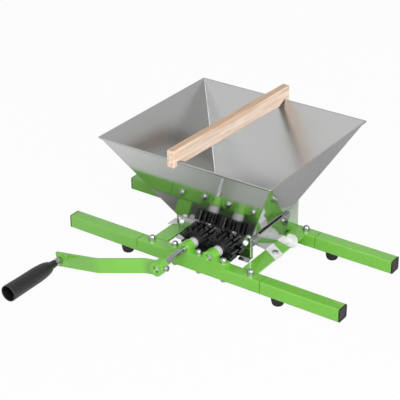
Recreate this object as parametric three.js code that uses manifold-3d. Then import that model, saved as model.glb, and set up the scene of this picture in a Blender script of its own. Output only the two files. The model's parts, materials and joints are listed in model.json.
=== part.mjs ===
// Hand-cranked fruit scratter: a sheet-metal hopper over two meshing toothed rollers,
// carried by a two-beam tube frame that lies across a bucket or barrel.
// Millimetres, +X along the beams, +Y from the crank towards the back, +Z up.

import * as THREE from 'three';
import { mergeVertices } from 'three/addons/utils/BufferGeometryUtils.js';
import Module from 'manifold-3d';

const wasm = await Module();
wasm.setup();

// Driving dimensions. Heights are counted from the top face of the beams.

const CLEARANCE = 0.3; // between pieces that touch
const CUT_PAST = 1; // a cutting body runs this far past the face that it cuts
const SHEET = 1.5; // thickness of the bent sheet pieces

const TUBE = 25; // side of the square beam tube
const TUBE_WALL = 2;
const CENTRE_PAST_CROSS = 19; // the fixed middle tube of a beam runs this far past a cross plate
const ARM_LENGTH = 154; // from the end of the middle tube to the end of an arm's tube
const INSERT_PAST_BOLT = 11; // the sleeve that an arm slides in with reaches this far past its bolt
const INSERT_OVERLAP = 20; // how far the sleeve reaches back into its own arm
const CAP_FLANGE = 2.3;
const CAP_PLUG = 12;
const CROSS_NECK_GAP = 1; // from the side of the neck to a cross plate
const CROSS_WIDTH = 30;
const CROSS_THICK = 4;
const FOOT_PAST_JOINT = 30.5; // from the end of the middle tube to the middle of a foot
const FOOT_HEIGHT = 15;
const FOOT_RADIUS = 12;
const FOOT_SOLE_RADIUS = 8.6;
const FOOT_EDGE_RADIUS = 10.8; // where the sole's rounded edge ends
const FOOT_EDGE_HEIGHT = 3.75;
const FOOT_WALL_HEIGHT = 9; // the side is upright above this height
const FOOT_STEM_RADIUS = 4;
const FOOT_STEM_REACH = 5; // how far the stem stands up into the tube

const SHAFT_SPACING = 52; // between the two shafts
const SHAFT_RADIUS = 6;
const SHAFT_BACK_RECESS = 0.8; // from a shaft's back end to the face of the back bushes
const DRIVEN_FRONT_RECESS = 3; // the driven shaft ends inside its bush
const BLOCK_DEPTH = 16.5; // bearing block along the shafts
const BLOCK_OVERHANG = 34; // the bar runs this far past each shaft's axis
const BLOCK_HEIGHT = 9.3;
const BUSH_RADIUS = 12.5;
const OIL_HOLE_RADIUS = 1.6;
const SPACER_RADIUS = 10;

const GEAR_TEETH = 13;
const GEAR_PRESSURE_DEG = 20;
const GEAR_ADDENDUM = 3.5; // tooth tip beyond the pitch circle
const GEAR_DEDENDUM = 5.2; // tooth root inside the pitch circle
const GEAR_BACKLASH = 0.7; // taken off each tooth at the pitch circle
const GEAR_WIDTH = 19.8;
const GEAR_SETBACK = 2.1; // from the gear's back face to the collar behind it
const GEAR_BEAM_GAP = 5.4; // from a gear's front face to the front beam
const GEAR_ROOT_WIDEN = 0.01; // radians that a tooth is wider at its root than where its flank starts
const ROLLER_TEETH = 11;
const ROLLER_TIP_RADIUS = 28;
const ROLLER_ROOT_RADIUS = 20.5;
const ROLLER_TOOTH_BASE = 8.4; // width of a crushing tooth at its root
const ROLLER_TOOTH_TIP = 2.6;
const ROLLER_END_GAP = 0.5; // from a roller's end to the neck plate

const HOPPER_Y = 10.5; // middle of the hopper, a little behind the middle of the frame
const MOUTH_WIDTH = 350;
const MOUTH_DEPTH = 321;
const HOPPER_RISE = 168; // height of the sloping walls
const NECK_WIDTH = 160;
const NECK_DEPTH = 128;
const NECK_TOP_Z = 40; // where the sloping walls meet the upright collar
const COLLAR_HEIGHT = 15;
const HEM_HEIGHT = 5; // rolled edge round the mouth
const HEM_OUT = 1.6;
const NECK_PLATE_BOTTOM_Z = 0.5;
const PLATE_TOP_DROP = 1; // the sheets inside the collar end this far below its top
const NECK_RETURN = 5; // side flange of the front and back neck plates
const LIP_OUT = 7; // drip lips bent out and down at the foot of each neck plate
const LIP_DROP = 4;
const LIP_START = 56; // they begin clear of the gears
const SHAFT_HOLE_GAP = 1; // radial gap of a shaft in a neck plate
const DEFLECTOR_LIP_Z = 21; // lower edge of the sloping sheet beside a roller
const DEFLECTOR_BEND_Z = 30;
const DEFLECTOR_ROLLER_GAP = 2.5;

const BRACKET_OFFSET_Y = 1.5; // the side brackets sit this far behind the middle of the hopper
const BRACKET_END_INSET = 2.5; // a bracket is shorter than the neck by this much at each end
const BRACKET_TOP_DROP = 0.5; // from the top of the collar to the top of a bracket
const BRACKET_END_HEIGHT = 6.5; // from the top edge to where the slanting lower edges start
const BRACKET_EDGE_LENGTH = 78; // raised edge that follows the sloping wall above the bracket
const BRACKET_EDGE_RISE = 4.5;
const FRONT_FOOT_FRONT = 20; // from the bracket's middle forward to the front foot's root
const FRONT_FOOT_BACK = 5; // and back to the other end of that root
const FRONT_FOOT_SWEEP = 23; // the foot runs forward by this much as it goes out
const FRONT_FOOT_OVERHANG = 6; // it reaches this far past the cross plate
const BACK_FOOT_FRONT = 20; // from the bracket's middle back to the near end of the back foot's root
const BACK_FOOT_ROOT = 21; // length of that root
const BACK_FOOT_SWEEP = 9;
const BACK_FOOT_TAPER = 5; // it is this much narrower at its outer end
const BACK_FOOT_OVERHANG = 9;
const BRACKET_BOLT_OFFSET = 7; // from the middle of the cross plate outwards
const BRACKET_BOLT_Y = 22; // from the middle of the bracket forward to its bolt
const BRACKET_HOLE_Y = 19; // and back to the free hole
const BRACKET_HOLE_RADIUS = 2.4;
const EAR_HEIGHT = 15; // ear standing on the back foot's slanting edge
const EAR_TAPER = 12; // run of its rising front end
const EAR_START_DROP = 3; // the ear is this much lower where its top edge starts
const EAR_CORNER = 10; // run of its rounded outer corner
const EAR_SETBACK = 5; // from the bend to where the ear starts
const EAR_INSET = 1; // from the foot's outer end to the ear's

const STAY_INSET = 1; // the stay is narrower than the neck by this much at each side
const STAY_BOTTOM_Z = -19;
const STAY_TOP_REACH = 16; // height of the stay's sloping top flange

const BOLT_RADIUS = 3;
const BOLT_HOLE_RADIUS = 3.4;
const BOLT_HEAD_RADIUS = 5.7;
const BOLT_HEAD_HEIGHT = 4;
const NUT_HEX_RADIUS = 6.4;
const NUT_HEX_HEIGHT = 3.4;
const NUT_DOME_RADIUS = 5.6;
const DOME_FLATNESS = 0.85; // height of a dome against its radius
const BEARING_BOLT_INSET = 8; // from the end of the bearing block's bar
const FRAME_BOLT_INSET = 25; // from the end of the middle tube
const FRAME_NUT_HEX_HEIGHT = 6;
const COLLAR_BOLT_INSET = 12; // from the side of the neck
const COLLAR_BOLT_DROP = 8.4; // from the top of the collar

const CRANK_RADIUS = 200;
const CRANK_REST_DEG = 10.3; // the arm hangs this far below level at rest
const CRANK_ARM_WIDTH = 27;
const CRANK_ARM_THICK = 5;
const CRANK_TAIL = 8; // arm beyond the grip's axle
const CRANK_BEND_START = 29;
const CRANK_BEND_END = 114;
const HUB_RADIUS = 13;
const HUB_OVERHANG = 84.2; // from the front beam to the hub's front end
const HUB_LENGTH = 20;
const SHAFT_IN_HUB_RECESS = 4;
const CRANK_ROOT_SETBACK = 8; // from the hub's front end to the middle of the arm's thickness
const CRANK_SET = 27; // how far the double bend carries the arm forward
const CLAMP_SCREW_SETBACK = 10; // from the hub's front end
const CLAMP_SCREW_RADIUS = 3;
const CLAMP_HEAD_RADIUS = 5.6;
const CLAMP_HEAD_HEIGHT = 6;
const GRIP_LENGTH = 124;
const GRIP_END_RADIUS = 15.4; // at the open end
const GRIP_FLARE = 44; // from the open end to where the grip stops narrowing
const GRIP_BODY_RADIUS = 14.65;
const GRIP_BODY_STOP = 40; // from the neck to where the body starts to narrow towards it
const GRIP_SHOULDER_STOP = 20; // from the neck to the middle of that curve
const GRIP_SHOULDER_RADIUS = 13.6; // radius there
const GRIP_BACK_STOP = 6; // from the neck to the end of that curve
const GRIP_BACK_RADIUS = 11.1; // radius there
const GRIP_STEP_RADIUS = 8; // where the grip steps down to its neck
const GRIP_NECK_LENGTH = 14;
const GRIP_NECK_RADIUS = 7.4;
const GRIP_NECK_TAPER = 0.9; // the neck is this much slimmer at its end
const GRIP_RECESS = 60; // depth of the hollow in the open end
const GRIP_WALL = 2.3; // round that hollow
const AXLE_RADIUS = 4;
const AXLE_HEAD_RADIUS = 7;
const AXLE_HEAD_HEIGHT = 4;
const AXLE_COLLAR_RADIUS = 6; // round collar between the grip and its nut
const AXLE_COLLAR_LENGTH = 4.6;
const GRIP_NUT_RADIUS = 8;
const GRIP_NUT_HEIGHT = 8;

const WOOD_X = -6; // middle of the wooden bar across the mouth
const WOOD_YAW_DEG = -2.1; // it lies a little askew
const WOOD_THICK = 14;
const WOOD_ABOVE_RIM = 23;
const WOOD_BELOW_RIM = 8;
const WOOD_OVERHANG = 12; // beyond the rim at each end
const WOOD_NOTCH_IN = 15; // run of the notch's slope inside the rim
const WOOD_NOTCH_OUT = 2; // from the rim to the hook outside it

// Places that follow from the driving dimensions.

const SHAFT_X = SHAFT_SPACING / 2;
const SHAFT_Z = BUSH_RADIUS + CLEARANCE;
const NECK_FRONT_Y = HOPPER_Y - NECK_DEPTH / 2;
const NECK_BACK_Y = HOPPER_Y + NECK_DEPTH / 2;
const NECK_HALF = NECK_WIDTH / 2;
const MOUTH_Z = NECK_TOP_Z + HOPPER_RISE;
const GEAR_BACK_Y = NECK_FRONT_Y - GEAR_SETBACK;
const GEAR_FRONT_Y = GEAR_BACK_Y - GEAR_WIDTH;
const PITCH_RADIUS = SHAFT_SPACING / 2;
const BEAM_IN_Y = GEAR_BEAM_GAP - GEAR_FRONT_Y;
const BEAM_Y = BEAM_IN_Y + TUBE / 2; // centre line of each beam, in front of and behind the middle
const BEAM_OUT_Y = BEAM_IN_Y + TUBE;
const BLOCK_IN_Y = BEAM_OUT_Y - BLOCK_DEPTH;
const BLOCK_MID_Y = BEAM_OUT_Y - BLOCK_DEPTH / 2;
const BLOCK_HALF = SHAFT_X + BLOCK_OVERHANG;
const BEARING_BOLT_X = BLOCK_HALF - BEARING_BOLT_INSET;
const SHAFT_BACK_Y = BEAM_OUT_Y - SHAFT_BACK_RECESS;
const PLATE_INSET = SHEET + CLEARANCE; // neck plates stand inside the collar
const PLATE_OUTER_FACE = NECK_DEPTH / 2 - PLATE_INSET; // counted from the middle of the hopper
const PLATE_INNER_FACE = PLATE_OUTER_FACE - SHEET;
const PLATE_TOP_Z = NECK_TOP_Z - PLATE_TOP_DROP;
const CROSS_X = NECK_HALF + CROSS_NECK_GAP + CROSS_WIDTH / 2; // centre line of each cross plate
const CROSS_OUT_X = CROSS_X + CROSS_WIDTH / 2;
const CENTRE_HALF = CROSS_OUT_X + CENTRE_PAST_CROSS; // half length of the fixed middle tube
const ARM_END = CENTRE_HALF + ARM_LENGTH;
const FRAME_BOLT_X = CENTRE_HALF - FRAME_BOLT_INSET;
const INSERT_START = FRAME_BOLT_X - INSERT_PAST_BOLT;
const FOOT_X = CENTRE_HALF + FOOT_PAST_JOINT;
const FLOOR_Z = -TUBE - FOOT_HEIGHT;
const COLLAR_BOLT_X = NECK_HALF - COLLAR_BOLT_INSET;
const COLLAR_BOLT_Z = NECK_TOP_Z - COLLAR_BOLT_DROP;
const BRACKET_Y = HOPPER_Y + BRACKET_OFFSET_Y;
const BRACKET_LENGTH = NECK_DEPTH - 2 * BRACKET_END_INSET;
const BRACKET_TOP_Z = NECK_TOP_Z - BRACKET_TOP_DROP;
const BRACKET_SHOULDER_Z = BRACKET_TOP_Z - BRACKET_END_HEIGHT;
const BRACKET_BOLT_X = CROSS_X + BRACKET_BOLT_OFFSET;
const HUB_FRONT_Y = -BEAM_OUT_Y - HUB_OVERHANG;
const CLAMP_SCREW_Y = HUB_FRONT_Y + CLAMP_SCREW_SETBACK;
const CRANK_ROOT_Y = HUB_FRONT_Y + CRANK_ROOT_SETBACK; // middle of the arm's thickness at the hub
const CRANK_TIP_Y = CRANK_ROOT_Y - CRANK_SET; // and at the grip
const GRIP_NUT_BACK_Y = CRANK_TIP_Y - CRANK_ARM_THICK / 2 - CLEARANCE;
const GRIP_NUT_FRONT_Y = GRIP_NUT_BACK_Y - GRIP_NUT_HEIGHT;
const AXLE_COLLAR_FRONT_Y = GRIP_NUT_FRONT_Y - CLEARANCE - AXLE_COLLAR_LENGTH;
const GRIP_BACK_Y = AXLE_COLLAR_FRONT_Y - CLEARANCE;
const GRIP_END_Y = GRIP_BACK_Y - GRIP_LENGTH;

// Materials, one for each finish.

function finish(color, roughness, metalness) {
  return new THREE.MeshStandardMaterial({ color, roughness, metalness });
}

const greenPaint = finish('#5fb83a', 0.3, 0.1);
const stainless = finish('#c9cccd', 0.2, 1);
const zincPlated = finish('#d6d8da', 0.25, 1);
const groundSteel = finish('#bfc3c6', 0.15, 1);
const naturalNylon = finish('#c4c4c3', 0.5, 0);
const blackNylon = finish('#1b1b1d', 0.5, 0);
const blackRubber = finish('#161616', 0.85, 0);
const blackPlastic = finish('#202124', 0.6, 0);
const beech = finish('#e6c49c', 0.6, 0);

// Geometry helpers.

function toSolid(geometry) {
  const bare = geometry.clone();
  bare.deleteAttribute('normal');
  bare.deleteAttribute('uv');
  const merged = mergeVertices(bare, 1e-4);
  const vertProperties = new Float32Array(merged.attributes.position.array);
  const triVerts = new Uint32Array(merged.index.array);
  return new wasm.Manifold(new wasm.Mesh({ numProp: 3, vertProperties, triVerts }));
}

function toGeometry(solid) {
  const mesh = solid.getMesh();
  const geometry = new THREE.BufferGeometry();
  geometry.setAttribute('position', new THREE.BufferAttribute(mesh.vertProperties, 3));
  geometry.setIndex(new THREE.BufferAttribute(mesh.triVerts, 1));
  geometry.computeVertexNormals();
  return geometry;
}

function join(...geometries) {
  return toGeometry(geometries.map(toSolid).reduce((whole, next) => whole.add(next)));
}

function cut(geometry, ...tools) {
  return toGeometry(tools.map(toSolid).reduce((rest, tool) => rest.subtract(tool), toSolid(geometry)));
}

function box([x0, x1], [y0, y1], [z0, z1]) {
  const geometry = new THREE.BoxGeometry(x1 - x0, y1 - y0, z1 - z0);
  return geometry.translate((x0 + x1) / 2, (y0 + y1) / 2, (z0 + z1) / 2);
}

// Cylinders along Y, along Z and along X.
function rodY(radius, [y0, y1], x = 0, z = 0, sides = 24) {
  return new THREE.CylinderGeometry(radius, radius, y1 - y0, sides).translate(x, (y0 + y1) / 2, z);
}

function rodZ(radius, [z0, z1], x = 0, y = 0, sides = 12) {
  const geometry = new THREE.CylinderGeometry(radius, radius, z1 - z0, sides);
  return geometry.rotateX(Math.PI / 2).translate(x, y, (z0 + z1) / 2);
}

function rodX(radius, [x0, x1], y = 0, z = 0, sides = 12) {
  const geometry = new THREE.CylinderGeometry(radius, radius, x1 - x0, sides);
  return geometry.rotateZ(Math.PI / 2).translate((x0 + x1) / 2, y, z);
}

function outline(points, holes = []) {
  const shape = new THREE.Shape(points.map(([a, b]) => new THREE.Vector2(a, b)));
  for (const { at: [a, b], radius, sides = 32 } of holes) {
    const ring = [];
    for (let i = 0; i < sides; i += 1) {
      const angle = (2 * Math.PI * i) / sides;
      ring.push(new THREE.Vector2(a + radius * Math.cos(angle), b + radius * Math.sin(angle)));
    }
    shape.holes.push(new THREE.Path(ring));
  }
  return shape;
}

function extrude(shape, depth) {
  return new THREE.ExtrudeGeometry(shape, { depth, bevelEnabled: false });
}

// An outline drawn in X and Z, drawn out along Y.
function extrudeAlongY(shape, [y0, y1]) {
  return extrude(shape, y1 - y0).rotateX(Math.PI / 2).translate(0, y1, 0);
}

// An outline drawn in Y and Z, drawn out along X.
function extrudeAlongX(shape, [x0, x1]) {
  const turn = new THREE.Matrix4().makeBasis(
    new THREE.Vector3(0, 1, 0),
    new THREE.Vector3(0, 0, 1),
    new THREE.Vector3(1, 0, 0),
  );
  return extrude(shape, x1 - x0).applyMatrix4(turn).translate(x0, 0, 0);
}

// An outline drawn in X and Y, drawn out along Z.
function extrudeAlongZ(shape, [z0, z1]) {
  return extrude(shape, z1 - z0).translate(0, 0, z0);
}

// A round profile of radius and place along Y, closed on the axis.
function turned(profile, sides = 32) {
  const points = profile.map(([radius, y]) => new THREE.Vector2(radius, y));
  return new THREE.LatheGeometry(points, sides);
}

// A rectangular sheet shell: rings of four corners, each ring joined to the next and the last to the first.
function ringShell(rings) {
  const corners = rings.flatMap(({ half, front, back, z }) => [
    [-half, front, z], [half, front, z], [half, back, z], [-half, back, z],
  ]);
  const index = [];
  rings.forEach((_, ring) => {
    const next = (ring + 1) % rings.length;
    for (let side = 0; side < 4; side += 1) {
      const a = ring * 4 + side;
      const b = ring * 4 + ((side + 1) % 4);
      const c = next * 4 + ((side + 1) % 4);
      const d = next * 4 + side;
      index.push(a, b, c, a, c, d);
    }
  });
  const geometry = new THREE.BufferGeometry();
  geometry.setAttribute('position', new THREE.Float32BufferAttribute(corners.flat(), 3));
  geometry.setIndex(index);
  geometry.computeVertexNormals();
  return geometry;
}

const machine = new THREE.Group();

function place(name, geometry, material, parent = machine) {
  const mesh = new THREE.Mesh(geometry, material);
  mesh.name = name;
  parent.add(mesh);
  return mesh;
}

const SIDES = [['left', -1], ['right', 1]];
const ENDS = [['front', -1], ['back', 1]];

// A span given for the +1 side, turned over for the -1 side.
function span(sign, near, far) {
  return sign > 0 ? [near, far] : [-far, -near];
}

// Frame: two beams of square tube, each a fixed middle with a pull-out arm at each end.

function boltHoles(places, radius) {
  return places.map(([x, y]) => rodZ(radius, [-TUBE - CUT_PAST, CUT_PAST], x, y));
}

function centreTube(sign) {
  const y = sign * BEAM_Y;
  const half = TUBE / 2;
  const bore = half - TUBE_WALL;
  const reach = CENTRE_HALF + CUT_PAST;
  const blockBolts = [-1, 0, 1].map((step) => [step * BEARING_BOLT_X, sign * BLOCK_MID_Y]);
  const frameBolts = [-1, 1].map((step) => [step * FRAME_BOLT_X, y]);
  return cut(
    box([-CENTRE_HALF, CENTRE_HALF], [y - half, y + half], [-TUBE, 0]),
    box([-reach, reach], [y - bore, y + bore], [-TUBE + TUBE_WALL, -TUBE_WALL]),
    ...boltHoles([...blockBolts, ...frameBolts], BOLT_HOLE_RADIUS),
  );
}

function arm(sideSign, endSign) {
  const y = endSign * BEAM_Y;
  const half = TUBE / 2;
  const bore = half - TUBE_WALL;
  const sleeve = bore - CLEARANCE;
  const start = CENTRE_HALF + CLEARANCE;
  const sleeveBore = sleeve - TUBE_WALL;
  const midZ = -TUBE / 2;
  const square = (reach) => [[y - reach, y + reach], [midZ - reach, midZ + reach]];
  const tube = cut(
    box(span(sideSign, start, ARM_END), ...square(half)),
    box(span(sideSign, start - CUT_PAST, ARM_END + CUT_PAST), ...square(bore)),
  );
  const insertEnd = start + INSERT_OVERLAP;
  const insert = box(span(sideSign, INSERT_START, insertEnd), ...square(sleeve));
  const shoulder = box(span(sideSign, start, insertEnd), ...square(bore + CLEARANCE));
  return cut(
    join(tube, insert, shoulder),
    box(span(sideSign, INSERT_START - CUT_PAST, insertEnd + CUT_PAST), ...square(sleeveBore)),
    rodZ(BOLT_HOLE_RADIUS, [-TUBE, 0], sideSign * FRAME_BOLT_X, y),
    rodZ(FOOT_STEM_RADIUS + CLEARANCE, [-TUBE - CUT_PAST, midZ], sideSign * FOOT_X, y),
  );
}

function endCap(sideSign, endSign) {
  const y = endSign * BEAM_Y;
  const half = TUBE / 2;
  const plug = half - TUBE_WALL - CLEARANCE;
  const midZ = -TUBE / 2;
  const flangeStart = ARM_END + CLEARANCE;
  return join(
    box(span(sideSign, flangeStart, flangeStart + CAP_FLANGE), [y - half, y + half], [-TUBE, 0]),
    box(
      span(sideSign, flangeStart - CAP_PLUG, flangeStart + CAP_FLANGE / 2),
      [y - plug, y + plug],
      [midZ - plug, midZ + plug],
    ),
  );
}

function foot(sideSign, endSign) {
  const top = -TUBE - CLEARANCE;
  const profile = [
    [0, FLOOR_Z],
    [FOOT_SOLE_RADIUS, FLOOR_Z],
    [FOOT_EDGE_RADIUS, FLOOR_Z + FOOT_EDGE_HEIGHT],
    [FOOT_RADIUS, FLOOR_Z + FOOT_WALL_HEIGHT],
    [FOOT_RADIUS, top],
    [FOOT_STEM_RADIUS, top],
    [FOOT_STEM_RADIUS, top + FOOT_STEM_REACH],
    [0, top + FOOT_STEM_REACH],
  ];
  return turned(profile, 20).rotateX(Math.PI / 2).translate(sideSign * FOOT_X, endSign * BEAM_Y, 0);
}

for (const [end, endSign] of ENDS) {
  place(`${end}_centre_tube`, centreTube(endSign), greenPaint);
  for (const [side, sideSign] of SIDES) {
    place(`${end}_${side}_arm`, arm(sideSign, endSign), greenPaint);
    place(`${end}_${side}_end_cap`, endCap(sideSign, endSign), blackPlastic);
    place(`${end}_${side}_foot`, foot(sideSign, endSign), blackRubber);
  }
}

// The cross plates join the beams, flush with their top faces. Each carries one bolted bracket foot.

function crossPlate(sign) {
  const inner = BEAM_IN_Y - CLEARANCE;
  return cut(
    box(span(sign, CROSS_OUT_X - CROSS_WIDTH, CROSS_OUT_X), [-inner, inner], [-CROSS_THICK, 0]),
    rodZ(
      BOLT_HOLE_RADIUS,
      [-CROSS_THICK - CUT_PAST, CUT_PAST],
      sign * BRACKET_BOLT_X,
      BRACKET_Y - BRACKET_BOLT_Y,
    ),
  );
}

for (const [side, sign] of SIDES) {
  place(`${side}_cross_plate`, crossPlate(sign), greenPaint);
}

// Bearing blocks: a flat bar with two welded bushes, bolted down on each beam.

function bearingBlock(sign) {
  const ySpan = span(sign, BLOCK_IN_Y, BEAM_OUT_Y);
  const boreSpan = [ySpan[0] - CUT_PAST, ySpan[1] + CUT_PAST];
  const oilSpan = [SHAFT_Z, SHAFT_Z + BUSH_RADIUS + CUT_PAST];
  const boltSpan = [-CUT_PAST, BLOCK_HEIGHT + CUT_PAST];
  const bushes = [-1, 1].map((step) => rodY(BUSH_RADIUS, ySpan, step * SHAFT_X, SHAFT_Z, 36));
  const bores = [-1, 1].map((step) => rodY(SHAFT_RADIUS + CLEARANCE, boreSpan, step * SHAFT_X, SHAFT_Z));
  const oilHoles = [-1, 1].map((step) => (
    rodZ(OIL_HOLE_RADIUS, oilSpan, step * SHAFT_X, sign * BLOCK_MID_Y, 10)
  ));
  const boltPlaces = [-1, 0, 1].map((step) => step * BEARING_BOLT_X);
  return cut(
    join(box([-BLOCK_HALF, BLOCK_HALF], ySpan, [CLEARANCE, BLOCK_HEIGHT]), ...bushes),
    ...bores,
    ...oilHoles,
    ...boltPlaces.map((x) => rodZ(BOLT_HOLE_RADIUS, boltSpan, x, sign * BLOCK_MID_Y)),
  );
}

for (const [end, sign] of ENDS) {
  place(`${end}_bearing_block`, bearingBlock(sign), greenPaint);
}

// Fasteners.

function hexagon(radius, zSpan, x, y) {
  return rodZ(radius, zSpan, x, y, 6);
}

// A bolt with its domed nut on top, seated at a height, and its head under the beam.
function domedBolt(x, y, seat, hexHeight) {
  const under = -TUBE - CLEARANCE;
  const domeZ = seat + hexHeight;
  const top = new THREE.SphereGeometry(NUT_DOME_RADIUS, 12, 8).scale(1, DOME_FLATNESS, 1);
  top.rotateX(Math.PI / 2).translate(x, y, domeZ);
  return join(
    hexagon(NUT_HEX_RADIUS, [seat, domeZ], x, y),
    top,
    rodZ(BOLT_RADIUS, [under - BOLT_HEAD_HEIGHT / 2, seat + hexHeight / 2], x, y),
    hexagon(BOLT_HEAD_RADIUS, [under - BOLT_HEAD_HEIGHT, under], x, y),
  );
}

const STATIONS = [['left', -1], ['middle', 0], ['right', 1]];
for (const [end, endSign] of ENDS) {
  for (const [station, step] of STATIONS) {
    const x = step * BEARING_BOLT_X;
    const y = endSign * BLOCK_MID_Y;
    const bolt = domedBolt(x, y, BLOCK_HEIGHT + CLEARANCE, NUT_HEX_HEIGHT);
    place(`${end}_${station}_bearing_bolt`, bolt, zincPlated);
  }
  for (const [side, sideSign] of SIDES) {
    const bolt = domedBolt(sideSign * FRAME_BOLT_X, endSign * BEAM_Y, CLEARANCE, FRAME_NUT_HEX_HEIGHT);
    place(`${end}_${side}_frame_bolt`, bolt, zincPlated);
  }
}

// Drive train: two shafts, each with a gear, a toothed roller and its spacers.

function involutePoint(baseRadius, radius, toothHalfAtBase) {
  const roll = Math.sqrt(Math.max(0, (radius / baseRadius) ** 2 - 1));
  const angle = toothHalfAtBase - (roll - Math.atan(roll));
  return [radius, angle];
}

// Outline of a spur gear with a tooth centred on +X.
function gearOutline() {
  const pressure = THREE.MathUtils.degToRad(GEAR_PRESSURE_DEG);
  const baseRadius = PITCH_RADIUS * Math.cos(pressure);
  const rootRadius = PITCH_RADIUS - GEAR_DEDENDUM;
  const tipRadius = PITCH_RADIUS + GEAR_ADDENDUM;
  const pitchAngle = (2 * Math.PI) / GEAR_TEETH;
  const halfAtPitch = pitchAngle / 4 - GEAR_BACKLASH / 2 / PITCH_RADIUS;
  const halfAtBase = halfAtPitch + Math.tan(pressure) - pressure;
  const flankSteps = 3;
  const flank = [[rootRadius, halfAtBase + GEAR_ROOT_WIDEN]];
  for (let i = 0; i <= flankSteps; i += 1) {
    const radius = baseRadius + ((tipRadius - baseRadius) * i) / flankSteps;
    flank.push(involutePoint(baseRadius, radius, halfAtBase));
  }
  const points = [];
  for (let tooth = 0; tooth < GEAR_TEETH; tooth += 1) {
    const middle = tooth * pitchAngle;
    for (const [radius, angle] of flank) {
      points.push([radius * Math.cos(middle - angle), radius * Math.sin(middle - angle)]);
    }
    for (const [radius, angle] of [...flank].reverse()) {
      points.push([radius * Math.cos(middle + angle), radius * Math.sin(middle + angle)]);
    }
  }
  return points;
}

// Outline of a crushing roller with tapered teeth, the first centred on +X.
function rollerOutline() {
  const points = [];
  for (let tooth = 0; tooth < ROLLER_TEETH; tooth += 1) {
    const middle = (2 * Math.PI * tooth) / ROLLER_TEETH;
    const corners = [
      [ROLLER_ROOT_RADIUS, -ROLLER_TOOTH_BASE / 2],
      [ROLLER_TIP_RADIUS, -ROLLER_TOOTH_TIP / 2],
      [ROLLER_TIP_RADIUS, ROLLER_TOOTH_TIP / 2],
      [ROLLER_ROOT_RADIUS, ROLLER_TOOTH_BASE / 2],
    ];
    for (const [radius, across] of corners) {
      points.push([
        radius * Math.cos(middle) - across * Math.sin(middle),
        radius * Math.sin(middle) + across * Math.cos(middle),
      ]);
    }
  }
  return points;
}

function toothed(points, ySpan, x) {
  const hub = [{ at: [0, 0], radius: SHAFT_RADIUS + CLEARANCE, sides: 24 }];
  return extrudeAlongY(outline(points, hub), ySpan).translate(x, 0, SHAFT_Z);
}

function sleeve(ySpan, x) {
  return cut(
    rodY(SPACER_RADIUS, ySpan, x, SHAFT_Z),
    rodY(SHAFT_RADIUS + CLEARANCE, [ySpan[0] - CUT_PAST, ySpan[1] + CUT_PAST], x, SHAFT_Z),
  );
}

const SHAFTS = [
  ['drive', -1, HUB_FRONT_Y + SHAFT_IN_HUB_RECESS],
  ['driven', 1, -BEAM_OUT_Y + DRIVEN_FRONT_RECESS],
];
const ROLLER_SPAN = [
  HOPPER_Y - PLATE_INNER_FACE + ROLLER_END_GAP,
  HOPPER_Y + PLATE_INNER_FACE - ROLLER_END_GAP,
];
for (const [role, sign, frontY] of SHAFTS) {
  const x = sign * SHAFT_X;
  place(`${role}_shaft`, rodY(SHAFT_RADIUS, [frontY, SHAFT_BACK_Y], x, SHAFT_Z), groundSteel);
  place(`${role}_gear`, toothed(gearOutline(), [GEAR_FRONT_Y, GEAR_BACK_Y], x), blackNylon);
  place(`${role}_roller`, toothed(rollerOutline(), ROLLER_SPAN, x), blackNylon);
  const frontSpan = [-BLOCK_IN_Y + CLEARANCE, GEAR_FRONT_Y - CLEARANCE];
  const backSpan = [NECK_BACK_Y + CLEARANCE, BLOCK_IN_Y - CLEARANCE];
  place(`${role}_front_spacer`, sleeve(frontSpan, x), naturalNylon);
  place(`${role}_back_spacer`, sleeve(backSpan, x), naturalNylon);
}

// Hopper: four sloping walls with a rolled rim, ending in an upright collar that is bolted
// to the neck plates inside it.

function collarBoltHoles(ySpan) {
  return [-1, 1].map((step) => rodY(BOLT_HOLE_RADIUS, ySpan, step * COLLAR_BOLT_X, COLLAR_BOLT_Z, 12));
}

function hopper() {
  const ring = (half, depth, z) => ({ half, front: HOPPER_Y - depth, back: HOPPER_Y + depth, z });
  const slopeX = (MOUTH_WIDTH - NECK_WIDTH) / 2 / (MOUTH_Z - NECK_TOP_Z);
  const slopeY = (MOUTH_DEPTH - NECK_DEPTH) / 2 / (MOUTH_Z - NECK_TOP_Z);
  const mouthX = MOUTH_WIDTH / 2;
  const mouthY = MOUTH_DEPTH / 2;
  const neckX = NECK_WIDTH / 2;
  const neckY = NECK_DEPTH / 2;
  const wallX = SHEET * Math.hypot(1, slopeX);
  const wallY = SHEET * Math.hypot(1, slopeY);
  const hemZ = MOUTH_Z - HEM_HEIGHT;
  const atHem = (half, slope) => half - HEM_OUT - slope * HEM_HEIGHT;
  const shell = ringShell([
    ring(neckX, neckY, NECK_TOP_Z - COLLAR_HEIGHT),
    ring(neckX, neckY, NECK_TOP_Z),
    ring(atHem(mouthX, slopeX), atHem(mouthY, slopeY), hemZ),
    ring(mouthX - slopeX * HEM_HEIGHT, mouthY - slopeY * HEM_HEIGHT, hemZ),
    ring(mouthX, mouthY, MOUTH_Z),
    ring(mouthX - HEM_OUT - wallX, mouthY - HEM_OUT - wallY, MOUTH_Z),
    ring(neckX - SHEET, neckY - SHEET, NECK_TOP_Z),
    ring(neckX - SHEET, neckY - SHEET, NECK_TOP_Z - COLLAR_HEIGHT),
  ]);
  return cut(shell, ...collarBoltHoles([NECK_FRONT_Y - CUT_PAST, NECK_BACK_Y + CUT_PAST]));
}

place('hopper', hopper(), stainless);

// Neck plates: upright plates inside the collar, with side returns and, at each lower corner outside
// the gears, a drip lip bent out and down.

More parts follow.
